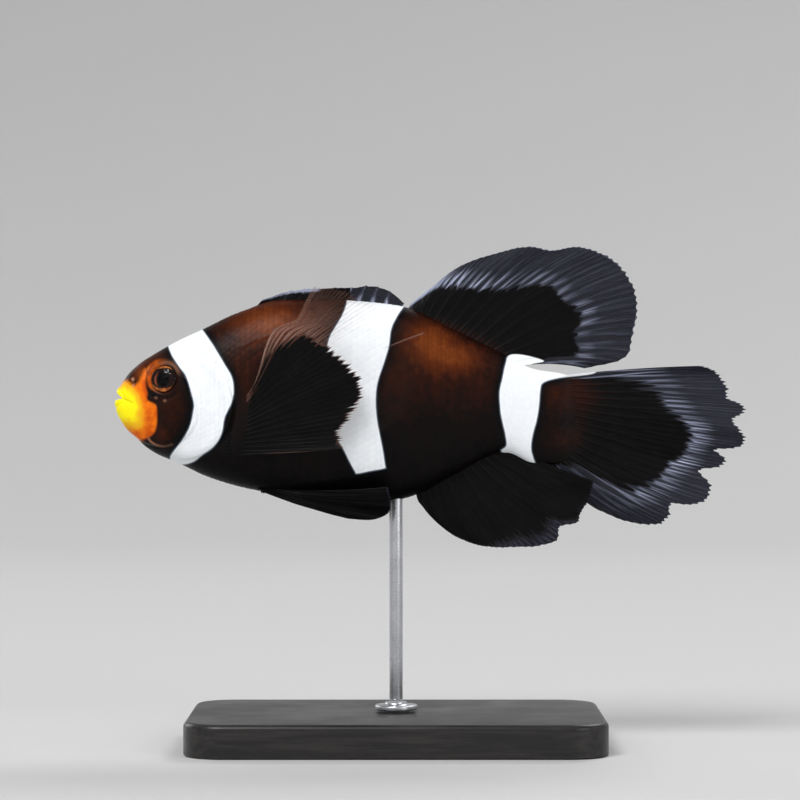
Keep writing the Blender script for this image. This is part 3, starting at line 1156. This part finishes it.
def pelvic_edge(t, reach):
    """A grey leading ray."""
    return 0.30 * ramp(t, 0.05, 0.01) * ramp(reach, 0.1, 0.3)


def pectoral_veil(t, reach):
    """How much of the pectoral margin shows: most along its upper edge, almost nothing at the rear."""
    return 0.04 + 0.96 * ramp(t, 0.34, 0.12) * (1 - 0.5 * ramp(reach, 0.70, 0.95))


def pectoral_edge(t, reach):
    """Pale rays along the pectoral's upper and lower edges and one in its clear tip, and a faint line round
    its margin."""
    sides = 0.50 * ramp(t, 0.04, 0.01) * ramp(reach, 0.08, 0.2) * (1 - 0.65 * ramp(reach, 0.5, 0.62))
    sides = sides + 0.32 * ramp(t, 0.975, 0.99) * ramp(reach, 0.3, 0.5)
    sides = sides + 0.34 * hump(t, 0.42, 0.0030) * ramp(reach, 0.76, 0.84)
    return np.maximum(sides, ramp(reach, 0.985, 1.0) * (0.10 + 0.25 * ramp(t, 0.30, 0.10)))


def fin_group():
    """Colour, solidity, roughness and relief of a fin, from the fields that its sheet carries."""
    name = "Clownfish fin"
    if name in bpy.data.node_groups:
        return bpy.data.node_groups[name]
    sockets = [(field.title(), "Float") for field in FIN_FIELDS]
    sockets += [("Position", "Vector"), ("Skin clear", "Float"), ("Ray clear", "Float")]
    sockets += [("Margin", "Color"), ("Margin rays", "Color")]
    results = [("Color", "Color"), ("Alpha", "Float"), ("Roughness", "Float"), ("Height", "Float")]
    tree, sheet, given, result = new_group(name, sockets, results)
    across = sheet.math("MULTIPLY", given["Thread"], 21.0)
    strand = sheet.add("ShaderNodeCombineXYZ", {0: across, 1: sheet.math("MULTIPLY", given["Reach"], 3.0)})
    streak = sheet.noise(strand.outputs[0], 1.0, 4.0, 0.6)
    mottle = sheet.noise(given["Position"], 500.0, 3.0, 0.6)
    # Pale rays are brightest in the fringe just outside the black, and again at their tips.
    crest = sheet.math("MULTIPLY", given["Ray"], sheet.remap(streak, 0.34, 0.62))
    crest = sheet.math("MAXIMUM", sheet.math("MULTIPLY", crest, given["Fringe"]), given["Edge"], clamp=True)
    lit = sheet.mix(0.035, given["Margin"], given["Margin rays"])
    margin = sheet.mix(sheet.remap(streak, 0.3, 0.7), given["Margin"], lit)
    margin = sheet.mix(crest, margin, given["Margin rays"])
    black = sheet.mix(sheet.remap(mottle, 0.35, 0.75, 0.0, 0.6), srgb(3, 3, 4), srgb(12, 9, 9))
    brown = sheet.ramp(
        sheet.math("ADD", given["Warm"], sheet.swing(streak, 0.2)),
        [(0.0, srgb(4, 4, 5)), (0.15, srgb(13, 7, 6)), (0.4, srgb(44, 17, 7)), (0.8, srgb(100, 46, 16))],
    )
    brown = sheet.mix(sheet.remap(given["Warm"], 0.02, 0.2), black, brown)
    edge = sheet.math("ADD", given["Dark"], sheet.swing(streak, 1.8))
    inside = sheet.remap(edge, -0.35, 0.45)
    inside = sheet.math("MULTIPLY", inside, sheet.math("SUBTRACT", 1.0, given["Edge"]))
    colour = sheet.mix(inside, margin, brown)
    white = sheet.remap(given["Band"], -0.15, 0.15)
    colour = sheet.mix(white, colour, bpy.context.scene.clownfish_body.band_colour)
    sheet.join(colour, result["Color"])
    clear = {0: given["Ray"], 2: given["Skin clear"], 3: given["Ray clear"]}
    clear = sheet.add("ShaderNodeMix", clear, data_type="FLOAT").outputs[0]
    solid = sheet.math("SUBTRACT", 1.0, clear)
    solid = sheet.math("MULTIPLY", solid, sheet.remap(streak, 0.25, 0.75, 0.80, 1.25))
    solid = sheet.math("MULTIPLY", solid, given["Veil"])
    kept = sheet.math("MAXIMUM", sheet.math("MAXIMUM", inside, white), given["Edge"])
    kept = sheet.math("MAXIMUM", kept, sheet.remap(given["Reach"], 0.16, 0.02))
    sheet.join(sheet.math("MAXIMUM", solid, kept, clamp=True), result["Alpha"])
    sheet.join(sheet.remap(streak, 0.2, 0.8, 0.46, 0.62), result["Roughness"])
    sheet.join(sheet.math("ADD", streak, sheet.math("MULTIPLY", mottle, 0.5)), result["Height"])
    return tree


def fin_material(name, skin_clear, ray_clear, margin, rays):
    """A fin's finish. The two numbers say how clear its margin's skin and rays are, from 0 to 1."""
    constants = {"Coat_Weight": 0.03, "Coat_Roughness": 0.25, "Specular_IOR_Level": 0.07}
    material, sheet, shader = new_material(name, **constants)
    coords = sheet.position()
    group = sheet.add("ShaderNodeGroup", node_tree=fin_group())
    for field in FIN_FIELDS:
        sheet.join(sheet.field(field), group.inputs[field.title()])
    sheet.join(coords, group.inputs["Position"])
    group.inputs["Skin clear"].default_value = skin_clear
    group.inputs["Ray clear"].default_value = ray_clear
    sheet.join(margin, group.inputs["Margin"])
    sheet.join(rays, group.inputs["Margin rays"])
    sheet.join(group.outputs["Color"], shader.inputs["Base Color"])
    sheet.join(group.outputs["Alpha"], shader.inputs["Alpha"])
    sheet.join(group.outputs["Roughness"], shader.inputs["Roughness"])
    sheet.relief(shader, group.outputs["Height"], 0.00002, 0.5)
    return material


def dark_fin_material():
    """The finish of the fins that are black almost to their edge, made once."""
    ready = bpy.data.materials.get("dark fin")
    return ready or fin_material("dark fin", 0.04, 0.01, srgb(14, 14, 19), srgb(66, 66, 80))


# ---------------------------------------------------------------- eyes
def eye_profile():
    """The eyeball's profile, (distance from its axis, height along it) in percent: lens, iris dish, limbus,
    then the ball itself round to its back."""
    pupil, rim = 1.36, 2.86
    r = np.linspace(0, pupil, 14)
    lens = np.stack([r, 1.30 + 0.22 * np.sqrt(1 - 0.9 * (r / pupil) ** 2)], -1)
    r = np.linspace(pupil + 0.03, rim, 22)
    share = (r - pupil) / (rim - pupil)
    dish = 1.16 - 0.14 * share + 0.05 * hump(share, 0.06, 0.07) - 0.05 * hump(share, 0.45, 0.25)
    iris = np.stack([r, dish], -1)
    angle = np.linspace(math.acos(2.92 / EYE_RADIUS), -math.pi / 2, 40)
    ball = np.stack([EYE_RADIUS * np.cos(angle), 0.97 * EYE_DEPTH * np.sin(angle)], -1)
    return np.concatenate([lens, iris, ball])


def eye_turning(name, profile, columns, side):
    """A profile turned about the eye's axis, with how far each point lies from it along and up."""
    centre, fore, top, out = eye_axes(side)
    points, quads, caps = turned(profile, columns, centre, fore, top, out)
    if side > 0:
        quads, caps = quads[:, ::-1], caps[:, ::-1]
    fields = {"eye_along": (points - centre) @ fore, "eye_up": (points - centre) @ top}
    return new_piece(name, place(points), quads, caps, fields)


def eye_material():
    """Iris and pupil from the distances to the eye's axis: a black lens, a dark middle wider than it is high
    with a pale crescent before and behind the lens, and gold above and below."""
    colours = bpy.context.scene.clownfish_eyes
    material, sheet, shader = new_material("iris", Specular_IOR_Level=0.04)
    x, z = sheet.field("eye_along"), sheet.field("eye_up")
    square = sheet.math("MULTIPLY", x, x), sheet.math("MULTIPLY", z, z)
    radius = sheet.math("SQRT", sheet.math("ADD", *square))
    shares = [sheet.math("DIVIDE", a, size * size) for a, size in zip(square, DARK_EYE)]
    oval = sheet.math("SQRT", sheet.math("ADD", *shares))
    coords = sheet.position()
    fleck = sheet.noise(coords, 2600.0, 4.0, 0.6)
    cloud = sheet.noise(coords, 900.0, 2.0, 0.5)
    iris = sheet.mix(sheet.remap(fleck, 0.3, 0.7), colours.iris_colour, srgb(26, 12, 10))
    ring = sheet.math("MULTIPLY", sheet.remap(radius, 1.60, 1.86), sheet.remap(radius, 2.34, 2.00))
    ring = sheet.math("MULTIPLY", ring, sheet.remap(sheet.math("ABSOLUTE", x), 1.0, 1.9, 0.0, 1.0))
    ring = sheet.math("MULTIPLY", ring, sheet.remap(x, -1.0, 1.0, 0.03, 1.0))
    ring = sheet.math("MULTIPLY", ring, sheet.remap(z, -0.2, 1.6, 1.0, 0.45))
    colour = sheet.mix(ring, iris, srgb(128, 66, 48))
    oval = sheet.math("SUBTRACT", oval, sheet.remap(z, 0.0, 1.0, 0.0, 0.12))
    gold = sheet.remap(sheet.math("ADD", oval, sheet.math("MULTIPLY", cloud, 0.25)), 1.06, 1.22)
    gold = sheet.math("MULTIPLY", gold, sheet.remap(x, -2.4, -0.8, 0.10, 1.0))
    bright = sheet.mix(sheet.remap(fleck, 0.35, 0.65), colours.ring_colour, srgb(176, 106, 54))
    colour = sheet.mix(gold, colour, bright)
    colour = sheet.mix(sheet.remap(radius, 2.86, 2.96), colour, srgb(22, 10, 10))
    colour = sheet.mix(sheet.remap(radius, 1.42, 1.34), colour, srgb(2, 2, 2))
    sheet.join(colour, shader.inputs["Base Color"])
    sheet.join(sheet.math("MULTIPLY", gold, 0.45), shader.inputs["Metallic"])
    sheet.join(sheet.remap(fleck, 0.3, 0.7, 0.25, 0.42), shader.inputs["Roughness"])
    return material


def cornea_material():
    """A clear wet film: see-through, with a faint mirror that grows towards its rim."""
    material = bpy.data.materials.new("cornea")
    material.use_nodes = True
    tree = material.node_tree
    tree.nodes.remove(tree.nodes["Principled BSDF"])
    sheet = Sheet(tree)
    clear = sheet.add("ShaderNodeBsdfTransparent", {"Color": (1, 1, 1)})
    gloss = sheet.add("ShaderNodeBsdfGlossy", {"Color": (1, 1, 1), "Roughness": 0.03})
    fresnel = sheet.add("ShaderNodeFresnel", {"IOR": 1.38})
    front = sheet.math("SUBTRACT", 1.0, sheet.add("ShaderNodeNewGeometry").outputs["Backfacing"])
    share = sheet.math("MULTIPLY", fresnel.outputs[0], 0.28)
    share = sheet.math("MULTIPLY", sheet.math("MINIMUM", share, 0.022), front)
    both = sheet.add("ShaderNodeMixShader", {0: share, 1: clear.outputs[0], 2: gloss.outputs[0]})
    tree.links.new(both.outputs[0], tree.nodes["Material Output"].inputs["Surface"])
    return material


def make_eye(side):
    """One eye: the ball with its iris and lens, and a clear cornea over them."""
    ball = eye_turning(f"eyeball_{SIDES[side]}", eye_profile(), 96, side)
    settle(ball, bpy.data.materials.get("iris") or eye_material(), "eye", f"eye_{SIDES[side]}")
    edge = 2.94  # half the cornea's width, in percent
    outer = np.linspace(0, edge, 22)
    dome = 0.92 + 0.98 * np.sqrt(1 - (outer / (edge + 0.12)) ** 2)
    inner = np.linspace(edge, 0, 12)
    under = dome[-1] - 0.04 + 0.72 * (1 - (inner / edge) ** 2)
    profile = np.concatenate([np.stack([outer, dome], -1), np.stack([inner, under], -1)])
    cornea = eye_turning(f"cornea_{SIDES[side]}", profile, 72, side)
    settle(cornea, bpy.data.materials.get("cornea") or cornea_material(), "eye")


# ---------------------------------------------------------------- stand
def lathe(name, profile, columns=64):
    """A piece turned about the upright axis through the origin, from a profile in metres."""
    return new_piece(name, *turned(profile, columns, np.zeros(3), *np.identity(3)))


def steel_material():
    """Brushed steel: fine turned lines and a few cloudy marks in its roughness."""
    colours = bpy.context.scene.clownfish_stand
    material, sheet, shader = new_material("brushed steel", Metallic=1.0)
    coords = sheet.position()
    stretch = sheet.add("ShaderNodeMapping", {"Vector": coords, "Scale": (30, 30, 4000)}).outputs[0]
    lines = sheet.noise(stretch, 6.0, 3.0, 0.6)
    clouds = sheet.noise(coords, 220.0, 2.0, 0.5)
    colour = sheet.mix(sheet.remap(clouds, 0.3, 0.7), colours.steel_colour, srgb(178, 180, 184))
    sheet.join(colour, shader.inputs["Base Color"])
    sheet.join(sheet.remap(lines, 0.25, 0.75, 0.22, 0.40), shader.inputs["Roughness"])
    sheet.relief(shader, lines, 0.000006, 0.5)
    return material


def lacquer_material():
    """Black lacquer over fine wood grain, a little worn along the base's edges."""
    colours = bpy.context.scene.clownfish_stand
    constants = {"Coat_Weight": 0.12, "Coat_Roughness": 0.22, "Specular_IOR_Level": 0.28}
    material, sheet, shader = new_material("black lacquer", **constants)
    coords = sheet.position()
    stretch = sheet.add("ShaderNodeMapping", {"Vector": coords, "Scale": (40, 700, 700)}).outputs[0]
    grain = sheet.noise(stretch, 2.0, 5.0, 0.65)
    clouds = sheet.noise(coords, 90.0, 3.0, 0.5)
    colour = sheet.mix(sheet.remap(grain, 0.35, 0.7), colours.base_colour, srgb(44, 41, 40))
    sheet.join(colour, shader.inputs["Base Color"])
    sheet.join(sheet.remap(clouds, 0.3, 0.7, 0.34, 0.46), shader.inputs["Roughness"])
    sheet.relief(shader, grain, 0.00002, 0.35)
    return material


def make_base(settings):
    """The base: a rounded rectangle carried up a profile. Round the rectangle, each corner is a quarter
    circle. Up the profile, the outline draws in by the bevel's quarter circle at the top. Above and below, a
    ring of half the size leads to a point in the middle."""
    low, high = BASE_BOX
    half_x, half_y = (high.x - low.x) / 2, (high.y - low.y) / 2
    corner, bevel, height = settings.corner_radius, settings.bevel, high.z - low.z
    lift = np.radians(np.linspace(0, 90, 9))
    foot = 0.0003
    inset = np.concatenate([[foot, foot, 0], bevel * (1 - np.cos(lift)), [bevel]])
    rise = np.concatenate([[0, 0, foot], height - bevel + bevel * np.sin(lift), [height]])
    share = np.ones((len(inset), 1))
    share[[0, -1]] = 0.5
    turn = np.radians(np.concatenate([np.linspace(q * 90, q * 90 + 90, 12) for q in range(4)]))
    sign_x = np.repeat([1, -1, -1, 1], 12)
    sign_y = np.repeat([1, 1, -1, -1], 12)
    radius = (corner - inset)[:, None]
    x = share * ((half_x - corner) * sign_x + radius * np.cos(turn))
    y = share * ((half_y - corner) * sign_y + radius * np.sin(turn))
    z = rise[:, None] + 0 * x
    grid = np.stack([x, y, low.z + z], -1)
    rows, columns = grid.shape[:2]
    points = np.concatenate([grid.reshape(-1, 3), [[0, 0, low.z], [0, 0, high.z]]])
    caps = pole_fans(rows, columns, len(points) - 2, len(points) - 1)
    piece = new_piece("base", points, grid_quads(rows, columns, wrap=True), caps)
    piece.data.set_sharp_from_angle(angle=math.radians(30))
    settle(piece, lacquer_material(), "stand_base", "stand_base")


def make_rod():
    """The rod and its flange: two turned profiles with small rounded edges."""
    steel = steel_material()
    low, high = ROD_BOX
    r, edge = (high.x - low.x) / 2, 0.00025
    bend = np.radians(np.linspace(0, 90, 6))
    foot = [(0, low.z), *[(r - edge + edge * math.sin(a), low.z + edge - edge * math.cos(a)) for a in bend]]
    top = [(r - edge + edge * math.cos(a), high.z - edge + edge * math.sin(a)) for a in bend]
    rod = lathe("rod", np.array([*foot, *top, (0, high.z)]), 48)
    settle(rod, steel, "stand_steel", "stand_rod")
    low, high = FLANGE_BOX
    r, neck, step = (high.x - low.x) / 2, r + 0.0006, 0.0004
    rim = [(r - edge + edge * math.sin(a), low.z + edge - edge * math.cos(a)) for a in bend]
    shoulder = [(r - edge + edge * math.cos(a), high.z - step - edge + edge * math.sin(a)) for a in bend]
    collar = [(neck + step - step * math.sin(a), high.z - step * math.cos(a)) for a in bend]
    lip = (neck - 0.0002, high.z)
    flange = lathe("flange", np.array([(0, low.z), *rim, *shoulder, *collar, lip, (0, high.z)]))
    flange.data.set_sharp_from_angle(angle=math.radians(35))
    settle(flange, steel, "stand_steel", "stand_flange")


# ---------------------------------------------------------------- stage
def make_floor(settings):
    """A round floor that curves up into a wall far out: radius against height, turned about the upright
    axis."""
    columns, flat, wall = 128, settings.floor_radius, 0.55
    bend = np.radians(np.linspace(0, 90, 24))
    radius = np.concatenate([[0, flat * 0.5], flat + wall * np.sin(bend), [flat + wall]])
    height = np.concatenate([[0, 0], wall * (1 - np.cos(bend)), [wall + 1.2]])
    angle = np.linspace(0, 2 * np.pi, columns, endpoint=False)
    x, y = radius[1:, None] * np.cos(angle), radius[1:, None] * np.sin(angle)
    z = height[1:, None] + 0 * x
    points = np.concatenate([np.stack([x, y, z], -1).reshape(-1, 3), [[0, 0, 0]]])
    ring = np.arange(columns)
    cap = np.stack([np.full(columns, len(points) - 1), ring, np.roll(ring, -1)], -1)
    floor = new_piece("floor", points, grid_quads(len(radius) - 1, columns, wrap=True)[:, ::-1], cap)
    material, sheet, shader = new_material("pale floor", Roughness=0.7, Specular_IOR_Level=0.2)
    coords = sheet.position()
    cloud = sheet.noise(coords, 3.0, 2.0, 0.5)
    pale = settings.floor_colour
    colour = sheet.mix(cloud, [c * 0.97 for c in pale], pale)
    sheet.join(colour, shader.inputs["Base Color"])
    floor.data.materials.append(material)


def add_light(name, place_at, aim, size, power):
    """A round white lamp, turned so that it shines at aim."""
    data = bpy.data.lights.new(name, "AREA")
    data.shape, data.size, data.energy = "DISK", size, power
    light = bpy.data.objects.new(name, data)
    light.location = place_at
    light.rotation_mode = "QUATERNION"
    light.rotation_quaternion = (Vector(aim) - Vector(place_at)).to_track_quat("-Z", "Y")
    bpy.context.scene.collection.objects.link(light)


def make_lights(settings):
    """A large soft lamp above and in front, a weaker one on the other side, two behind, and an even sky."""
    heart = (0.0, 0.0, SNOUT_Z)
    add_light("key", (-0.35, -0.60, 0.85), heart, 0.55, settings.key_power)
    add_light("fill", (0.60, -0.60, 0.35), heart, 0.5, settings.key_power * 0.22)
    add_light("back", (0.40, 0.60, 0.80), heart, 0.45, settings.key_power * 0.50)
    add_light("back fill", (-0.60, 0.55, 0.35), heart, 0.5, settings.key_power * 0.15)
    world = bpy.data.worlds.new("soft sky")
    world.use_nodes = True
    world.node_tree.nodes["Background"].inputs["Color"].default_value = (1, 1, 1, 1)
    world.node_tree.nodes["Background"].inputs["Strength"].default_value = settings.sky_strength
    bpy.context.scene.world = world


def make_camera(settings):
    """A level camera square to the fish's left side, its view's centre a little behind mid body."""
    data = bpy.data.cameras.new("camera")
    data.sensor_width, data.lens = 36.0, settings.lens
    data.clip_start, data.clip_end = 0.01, 20.0
    camera = bpy.data.objects.new("camera", data)
    distance = settings.view_width * settings.lens / data.sensor_width
    centre = place(np.array([settings.view_along, 0.0, settings.view_up]))
    camera.location = (centre[0], -distance, centre[2])
    camera.rotation_euler = (math.radians(90), 0, 0)
    scene = bpy.context.scene
    scene.collection.objects.link(camera)
    scene.camera = camera
    scene.view_settings.view_transform = "Standard"


# ---------------------------------------------------------------- settings
class ClownfishBody(bpy.types.PropertyGroup):
    """Sizes and colours of the skin and scales."""

    head_rings: IntProperty(
        name="Head rings", description="Rings of skin from the mouth to the trunk",
        default=220,
    )
    trunk_rings: IntProperty(
        name="Trunk rings", description="Rings of skin from the trunk to the tail",
        default=120,
    )
    skin_columns: IntProperty(name="Skin columns", description="Points in each ring of skin", default=280)
    scales_round: IntProperty(
        name="Scales round", description="Scales in one ring round the body",
        default=66,
    )
    skin_depth: FloatProperty(
        name="Skin depth", description="How far the skin lies under the scales",
        default=0.00007, unit="LENGTH", precision=6,
    )
    scale_lift: FloatProperty(
        name="Scale lift", description="How far a scale's free edge rises",
        default=0.00004, unit="LENGTH", precision=6,
    )
    back_colour: FloatVectorProperty(
        name="Back", description="Warm brown of the back",
        subtype="COLOR", default=srgb(122, 60, 20),
    )
    band_colour: FloatVectorProperty(
        name="Bands", description="White of the three bands",
        subtype="COLOR", default=srgb(240, 243, 246),
    )
    lip_colour: FloatVectorProperty(
        name="Lips", description="Yellow of the lips",
        subtype="COLOR", default=srgb(252, 236, 22),
    )


class ClownfishFins(bpy.types.PropertyGroup):
    """Sizes and colours of the fins."""

    columns_per_ray: IntProperty(
        name="Columns per ray", description="Points across one ray and its skin",
        default=22,
    )
    skin_thickness: FloatProperty(
        name="Skin", description="Thickness between the rays",
        default=0.00007, unit="LENGTH", precision=6,
    )
    ray_thickness: FloatProperty(
        name="Rays", description="Thickness of a ray at its root",
        default=0.00026, unit="LENGTH", precision=6,
    )
    margin_colour: FloatVectorProperty(
        name="Margin", description="Smoky skin of the margins",
        subtype="COLOR", default=srgb(18, 18, 26),
    )
    margin_ray_colour: FloatVectorProperty(
        name="Margin rays", description="Rays in the margins",
        subtype="COLOR", default=srgb(180, 187, 214),
    )
    skin_clear: FloatProperty(
        name="Clearness", description="How clear the margins' skin is", default=0.06,
        subtype="FACTOR",
    )
    pectoral_clear: FloatProperty(
        name="Pectoral clearness", description="How clear the pectoral margins are", default=0.96,
        subtype="FACTOR",
    )


class ClownfishEyes(bpy.types.PropertyGroup):
    """Colours of the eyes."""

    iris_colour: FloatVectorProperty(
        name="Iris", description="Dark brown of the iris",
        subtype="COLOR", default=srgb(11, 6, 7),
    )
    ring_colour: FloatVectorProperty(
        name="Ring", description="Gold ring in the iris",
        subtype="COLOR", default=srgb(122, 62, 24),
    )


class ClownfishStand(bpy.types.PropertyGroup):
    """Sizes and colours of the display stand."""

    corner_radius: FloatProperty(
        name="Corner", description="Radius of the base's upright corners",
        default=0.006, unit="LENGTH",
    )
    bevel: FloatProperty(
        name="Bevel", description="Radius of the base's top edge",
        default=0.0008, unit="LENGTH", precision=5,
    )
    base_colour: FloatVectorProperty(
        name="Base", description="Lacquer of the base",
        subtype="COLOR", default=srgb(24, 23, 23),
    )
    steel_colour: FloatVectorProperty(
        name="Steel", description="Rod and flange",
        subtype="COLOR", default=srgb(196, 198, 202),
    )


class ClownfishStage(bpy.types.PropertyGroup):
    """Floor, lights and camera."""

    floor_radius: FloatProperty(
        name="Floor", description="Radius of the flat floor",
        default=0.6, unit="LENGTH",
    )
    floor_colour: FloatVectorProperty(
        name="Floor colour", description="Pale grey of the floor",
        subtype="COLOR", default=(0.56, 0.56, 0.56),
    )
    key_power: FloatProperty(name="Key", description="Power of the main lamp, in watts", default=9.0)
    sky_strength: FloatProperty(name="Sky", description="Strength of the even light", default=0.22)
    lens: FloatProperty(name="Lens", description="Focal length, in millimetres", default=135.0)
    view_width: FloatProperty(
        name="View", description="Width of the view at the fish",
        default=0.12, unit="LENGTH",
    )
    view_along: FloatProperty(
        name="View along", description="View's centre, percent behind the snout",
        default=64.1,
    )
    view_up: FloatProperty(
        name="View up", description="View's centre, percent above the snout",
        default=-0.45,
    )


# ---------------------------------------------------------------- operators
class CLOWNFISH_OT_skin(bpy.types.Operator):
    """Make the skin of head, trunk and tail stalk"""

    bl_idname = "clownfish.skin"
    bl_label = "Skin"

    def execute(self, context):
        make_skin(context.scene.clownfish_body)
        return {"FINISHED"}


class CLOWNFISH_OT_scales(bpy.types.Operator):
    """Lay the scales on both sides"""

    bl_idname = "clownfish.scales"
    bl_label = "Scales"

    def execute(self, context):
        for side in SIDES:
            make_scales(context.scene.clownfish_body, side)
        return {"FINISHED"}


class CLOWNFISH_OT_middle_fins(bpy.types.Operator):
    """Make the dorsal, anal and tail fins"""

    bl_idname = "clownfish.middle_fins"
    bl_label = "Dorsal, anal and tail fins"

    def execute(self, context):
        settings = context.scene.clownfish_fins
        colours = (tuple(settings.margin_colour), tuple(settings.margin_ray_colour))
        smoky = fin_material("smoky fin", settings.skin_clear, settings.skin_clear * 0.25, *colours)
        dark = dark_fin_material()
        make_fin(
            "spiny_dorsal_fin", spiny_dorsal, 11, spiny_black, settings, material=smoky, rows=44, seed=11,
            splits=(2.0, 3.0), ragged=0.12, jag=1.2, teeth=0.5, ray_scale=0.7, warm_to=0.06, root_length=0.2,
            edge=spiny_edge,
        )
        make_fin(
            "soft_dorsal_fin", soft_dorsal, SOFT_DORSAL_RAYS, SOFT_DORSAL_BLACK, settings, material=smoky,
            rows=90, finer=2, seed=12, ragged=0.030, jag=0.9, teeth=0.5, ray_scale=0.7, joints=420.0,
            root_length=0.10, warm_to=0.20, streaks=(-0.04, 0.04), band=True, dark_rays=True,
            fringe=(dorsal_glow, 0.05, 4.6), edge=dorsal_edge,
        )
        make_fin(
            "anal_fin", anal_fin, 14, anal_black, settings, material=dark, rows=76, seed=13, ragged=0.026,
            jag=0.3, teeth=0.5, ray_scale=0.7, warm_to=0.4,
        )
        make_fin(
            "caudal_fin", caudal_fin, 17, CAUDAL_BLACK, settings, material=smoky, rows=110, finer=2, seed=14,
            ragged=0.045, jag=1.0, teeth=1.2, joints=560.0, root=0.3, root_length=0.14, warm_to=0.62,
            streaks=(0.12, 0.42), band=True, fringe=(caudal_glow, 0.05, 6.0),
        )
        return {"FINISHED"}


class CLOWNFISH_OT_side_fins(bpy.types.Operator):
    """Make the pectoral and pelvic fins"""

    bl_idname = "clownfish.side_fins"
    bl_label = "Pectoral and pelvic fins"

    def execute(self, context):
        settings = context.scene.clownfish_fins
        clearness = settings.pectoral_clear
        clear = fin_material("clear fin", clearness, clearness * 0.64, srgb(112, 78, 66), srgb(190, 152, 138))
        dark = dark_fin_material()
        for side, spread in ((-1, 0.26), (1, 0.34)):
            make_fin(
                f"pectoral_fin_{SIDES[side]}", pectoral_fin(side, spread), 17, PECTORAL_BLACK, settings,
                material=clear, rows=84, finer=-2, seed=30 + side, splits=(0.12, 0.42), ragged=0.035, jag=0.8,
                teeth=0.9, ray_scale=0.55, root=0.5, root_length=0.05, warm_to=0.1, veil=pectoral_veil,
                edge=pectoral_edge,
            )
            make_fin(
                f"pelvic_fin_{SIDES[side]}", pelvic_fin(side), 7, pelvic_black, settings, material=dark,
                rows=70, finer=-4, seed=40 + side, ragged=0.02, jag=0.2, teeth=0.3, root=0.5, warm_to=0.06,
                edge=pelvic_edge,
            )
        return {"FINISHED"}


class CLOWNFISH_OT_eyes(bpy.types.Operator):
    """Make both eyes"""

    bl_idname = "clownfish.eyes"
    bl_label = "Eyes"

    def execute(self, context):
        for side in SIDES:
            make_eye(side)
        return {"FINISHED"}


class CLOWNFISH_OT_stand(bpy.types.Operator):
    """Make the display stand"""

    bl_idname = "clownfish.stand"
    bl_label = "Display stand"

    def execute(self, context):
        make_base(context.scene.clownfish_stand)
        make_rod()
        return {"FINISHED"}


class CLOWNFISH_OT_stage(bpy.types.Operator):
    """Make the floor, the lights and the camera"""

    bl_idname = "clownfish.stage"
    bl_label = "Stage"

    def execute(self, context):
        make_floor(context.scene.clownfish_stage)
        make_lights(context.scene.clownfish_stage)
        make_camera(context.scene.clownfish_stage)
        return {"FINISHED"}


SETTINGS = {
    "clownfish_body": ClownfishBody,
    "clownfish_fins": ClownfishFins,
    "clownfish_eyes": ClownfishEyes,
    "clownfish_stand": ClownfishStand,
    "clownfish_stage": ClownfishStage,
}
OPERATORS = (
    CLOWNFISH_OT_skin,
    CLOWNFISH_OT_scales,
    CLOWNFISH_OT_middle_fins,
    CLOWNFISH_OT_side_fins,
    CLOWNFISH_OT_eyes,
    CLOWNFISH_OT_stand,
    CLOWNFISH_OT_stage,
)


class CLOWNFISH_PT_panel(bpy.types.Panel):
    """Lists the pieces and their settings"""

    bl_idname = "CLOWNFISH_PT_panel"
    bl_label = "Clownfish"
    bl_space_type = "VIEW_3D"
    bl_region_type = "UI"
    bl_category = "Clownfish"

    def draw(self, context):
        layout = self.layout
        for operator in OPERATORS:
            layout.operator(operator.bl_idname)
        for name, group in SETTINGS.items():
            box = layout.box()
            for prop in group.__annotations__:
                box.prop(getattr(context.scene, name), prop)


def register():
    """Registers the classes, and keeps each group of settings on the scene."""
    for kind in (*SETTINGS.values(), *OPERATORS, CLOWNFISH_PT_panel):
        bpy.utils.register_class(kind)
    for name, group in SETTINGS.items():
        setattr(bpy.types.Scene, name, PointerProperty(type=group))


def unregister():
    """Takes back what register does."""
    for name in SETTINGS:
        delattr(bpy.types.Scene, name)
    for kind in (CLOWNFISH_PT_panel, *reversed(OPERATORS), *reversed(SETTINGS.values())):
        bpy.utils.unregister_class(kind)


def main():
    """Makes every piece and the stage."""
    register()
    bpy.ops.clownfish.skin()
    bpy.ops.clownfish.scales()
    bpy.ops.clownfish.middle_fins()
    bpy.ops.clownfish.side_fins()
    bpy.ops.clownfish.eyes()
    bpy.ops.clownfish.stand()
    bpy.ops.clownfish.stage()


if __name__ == "__main__":
    main()
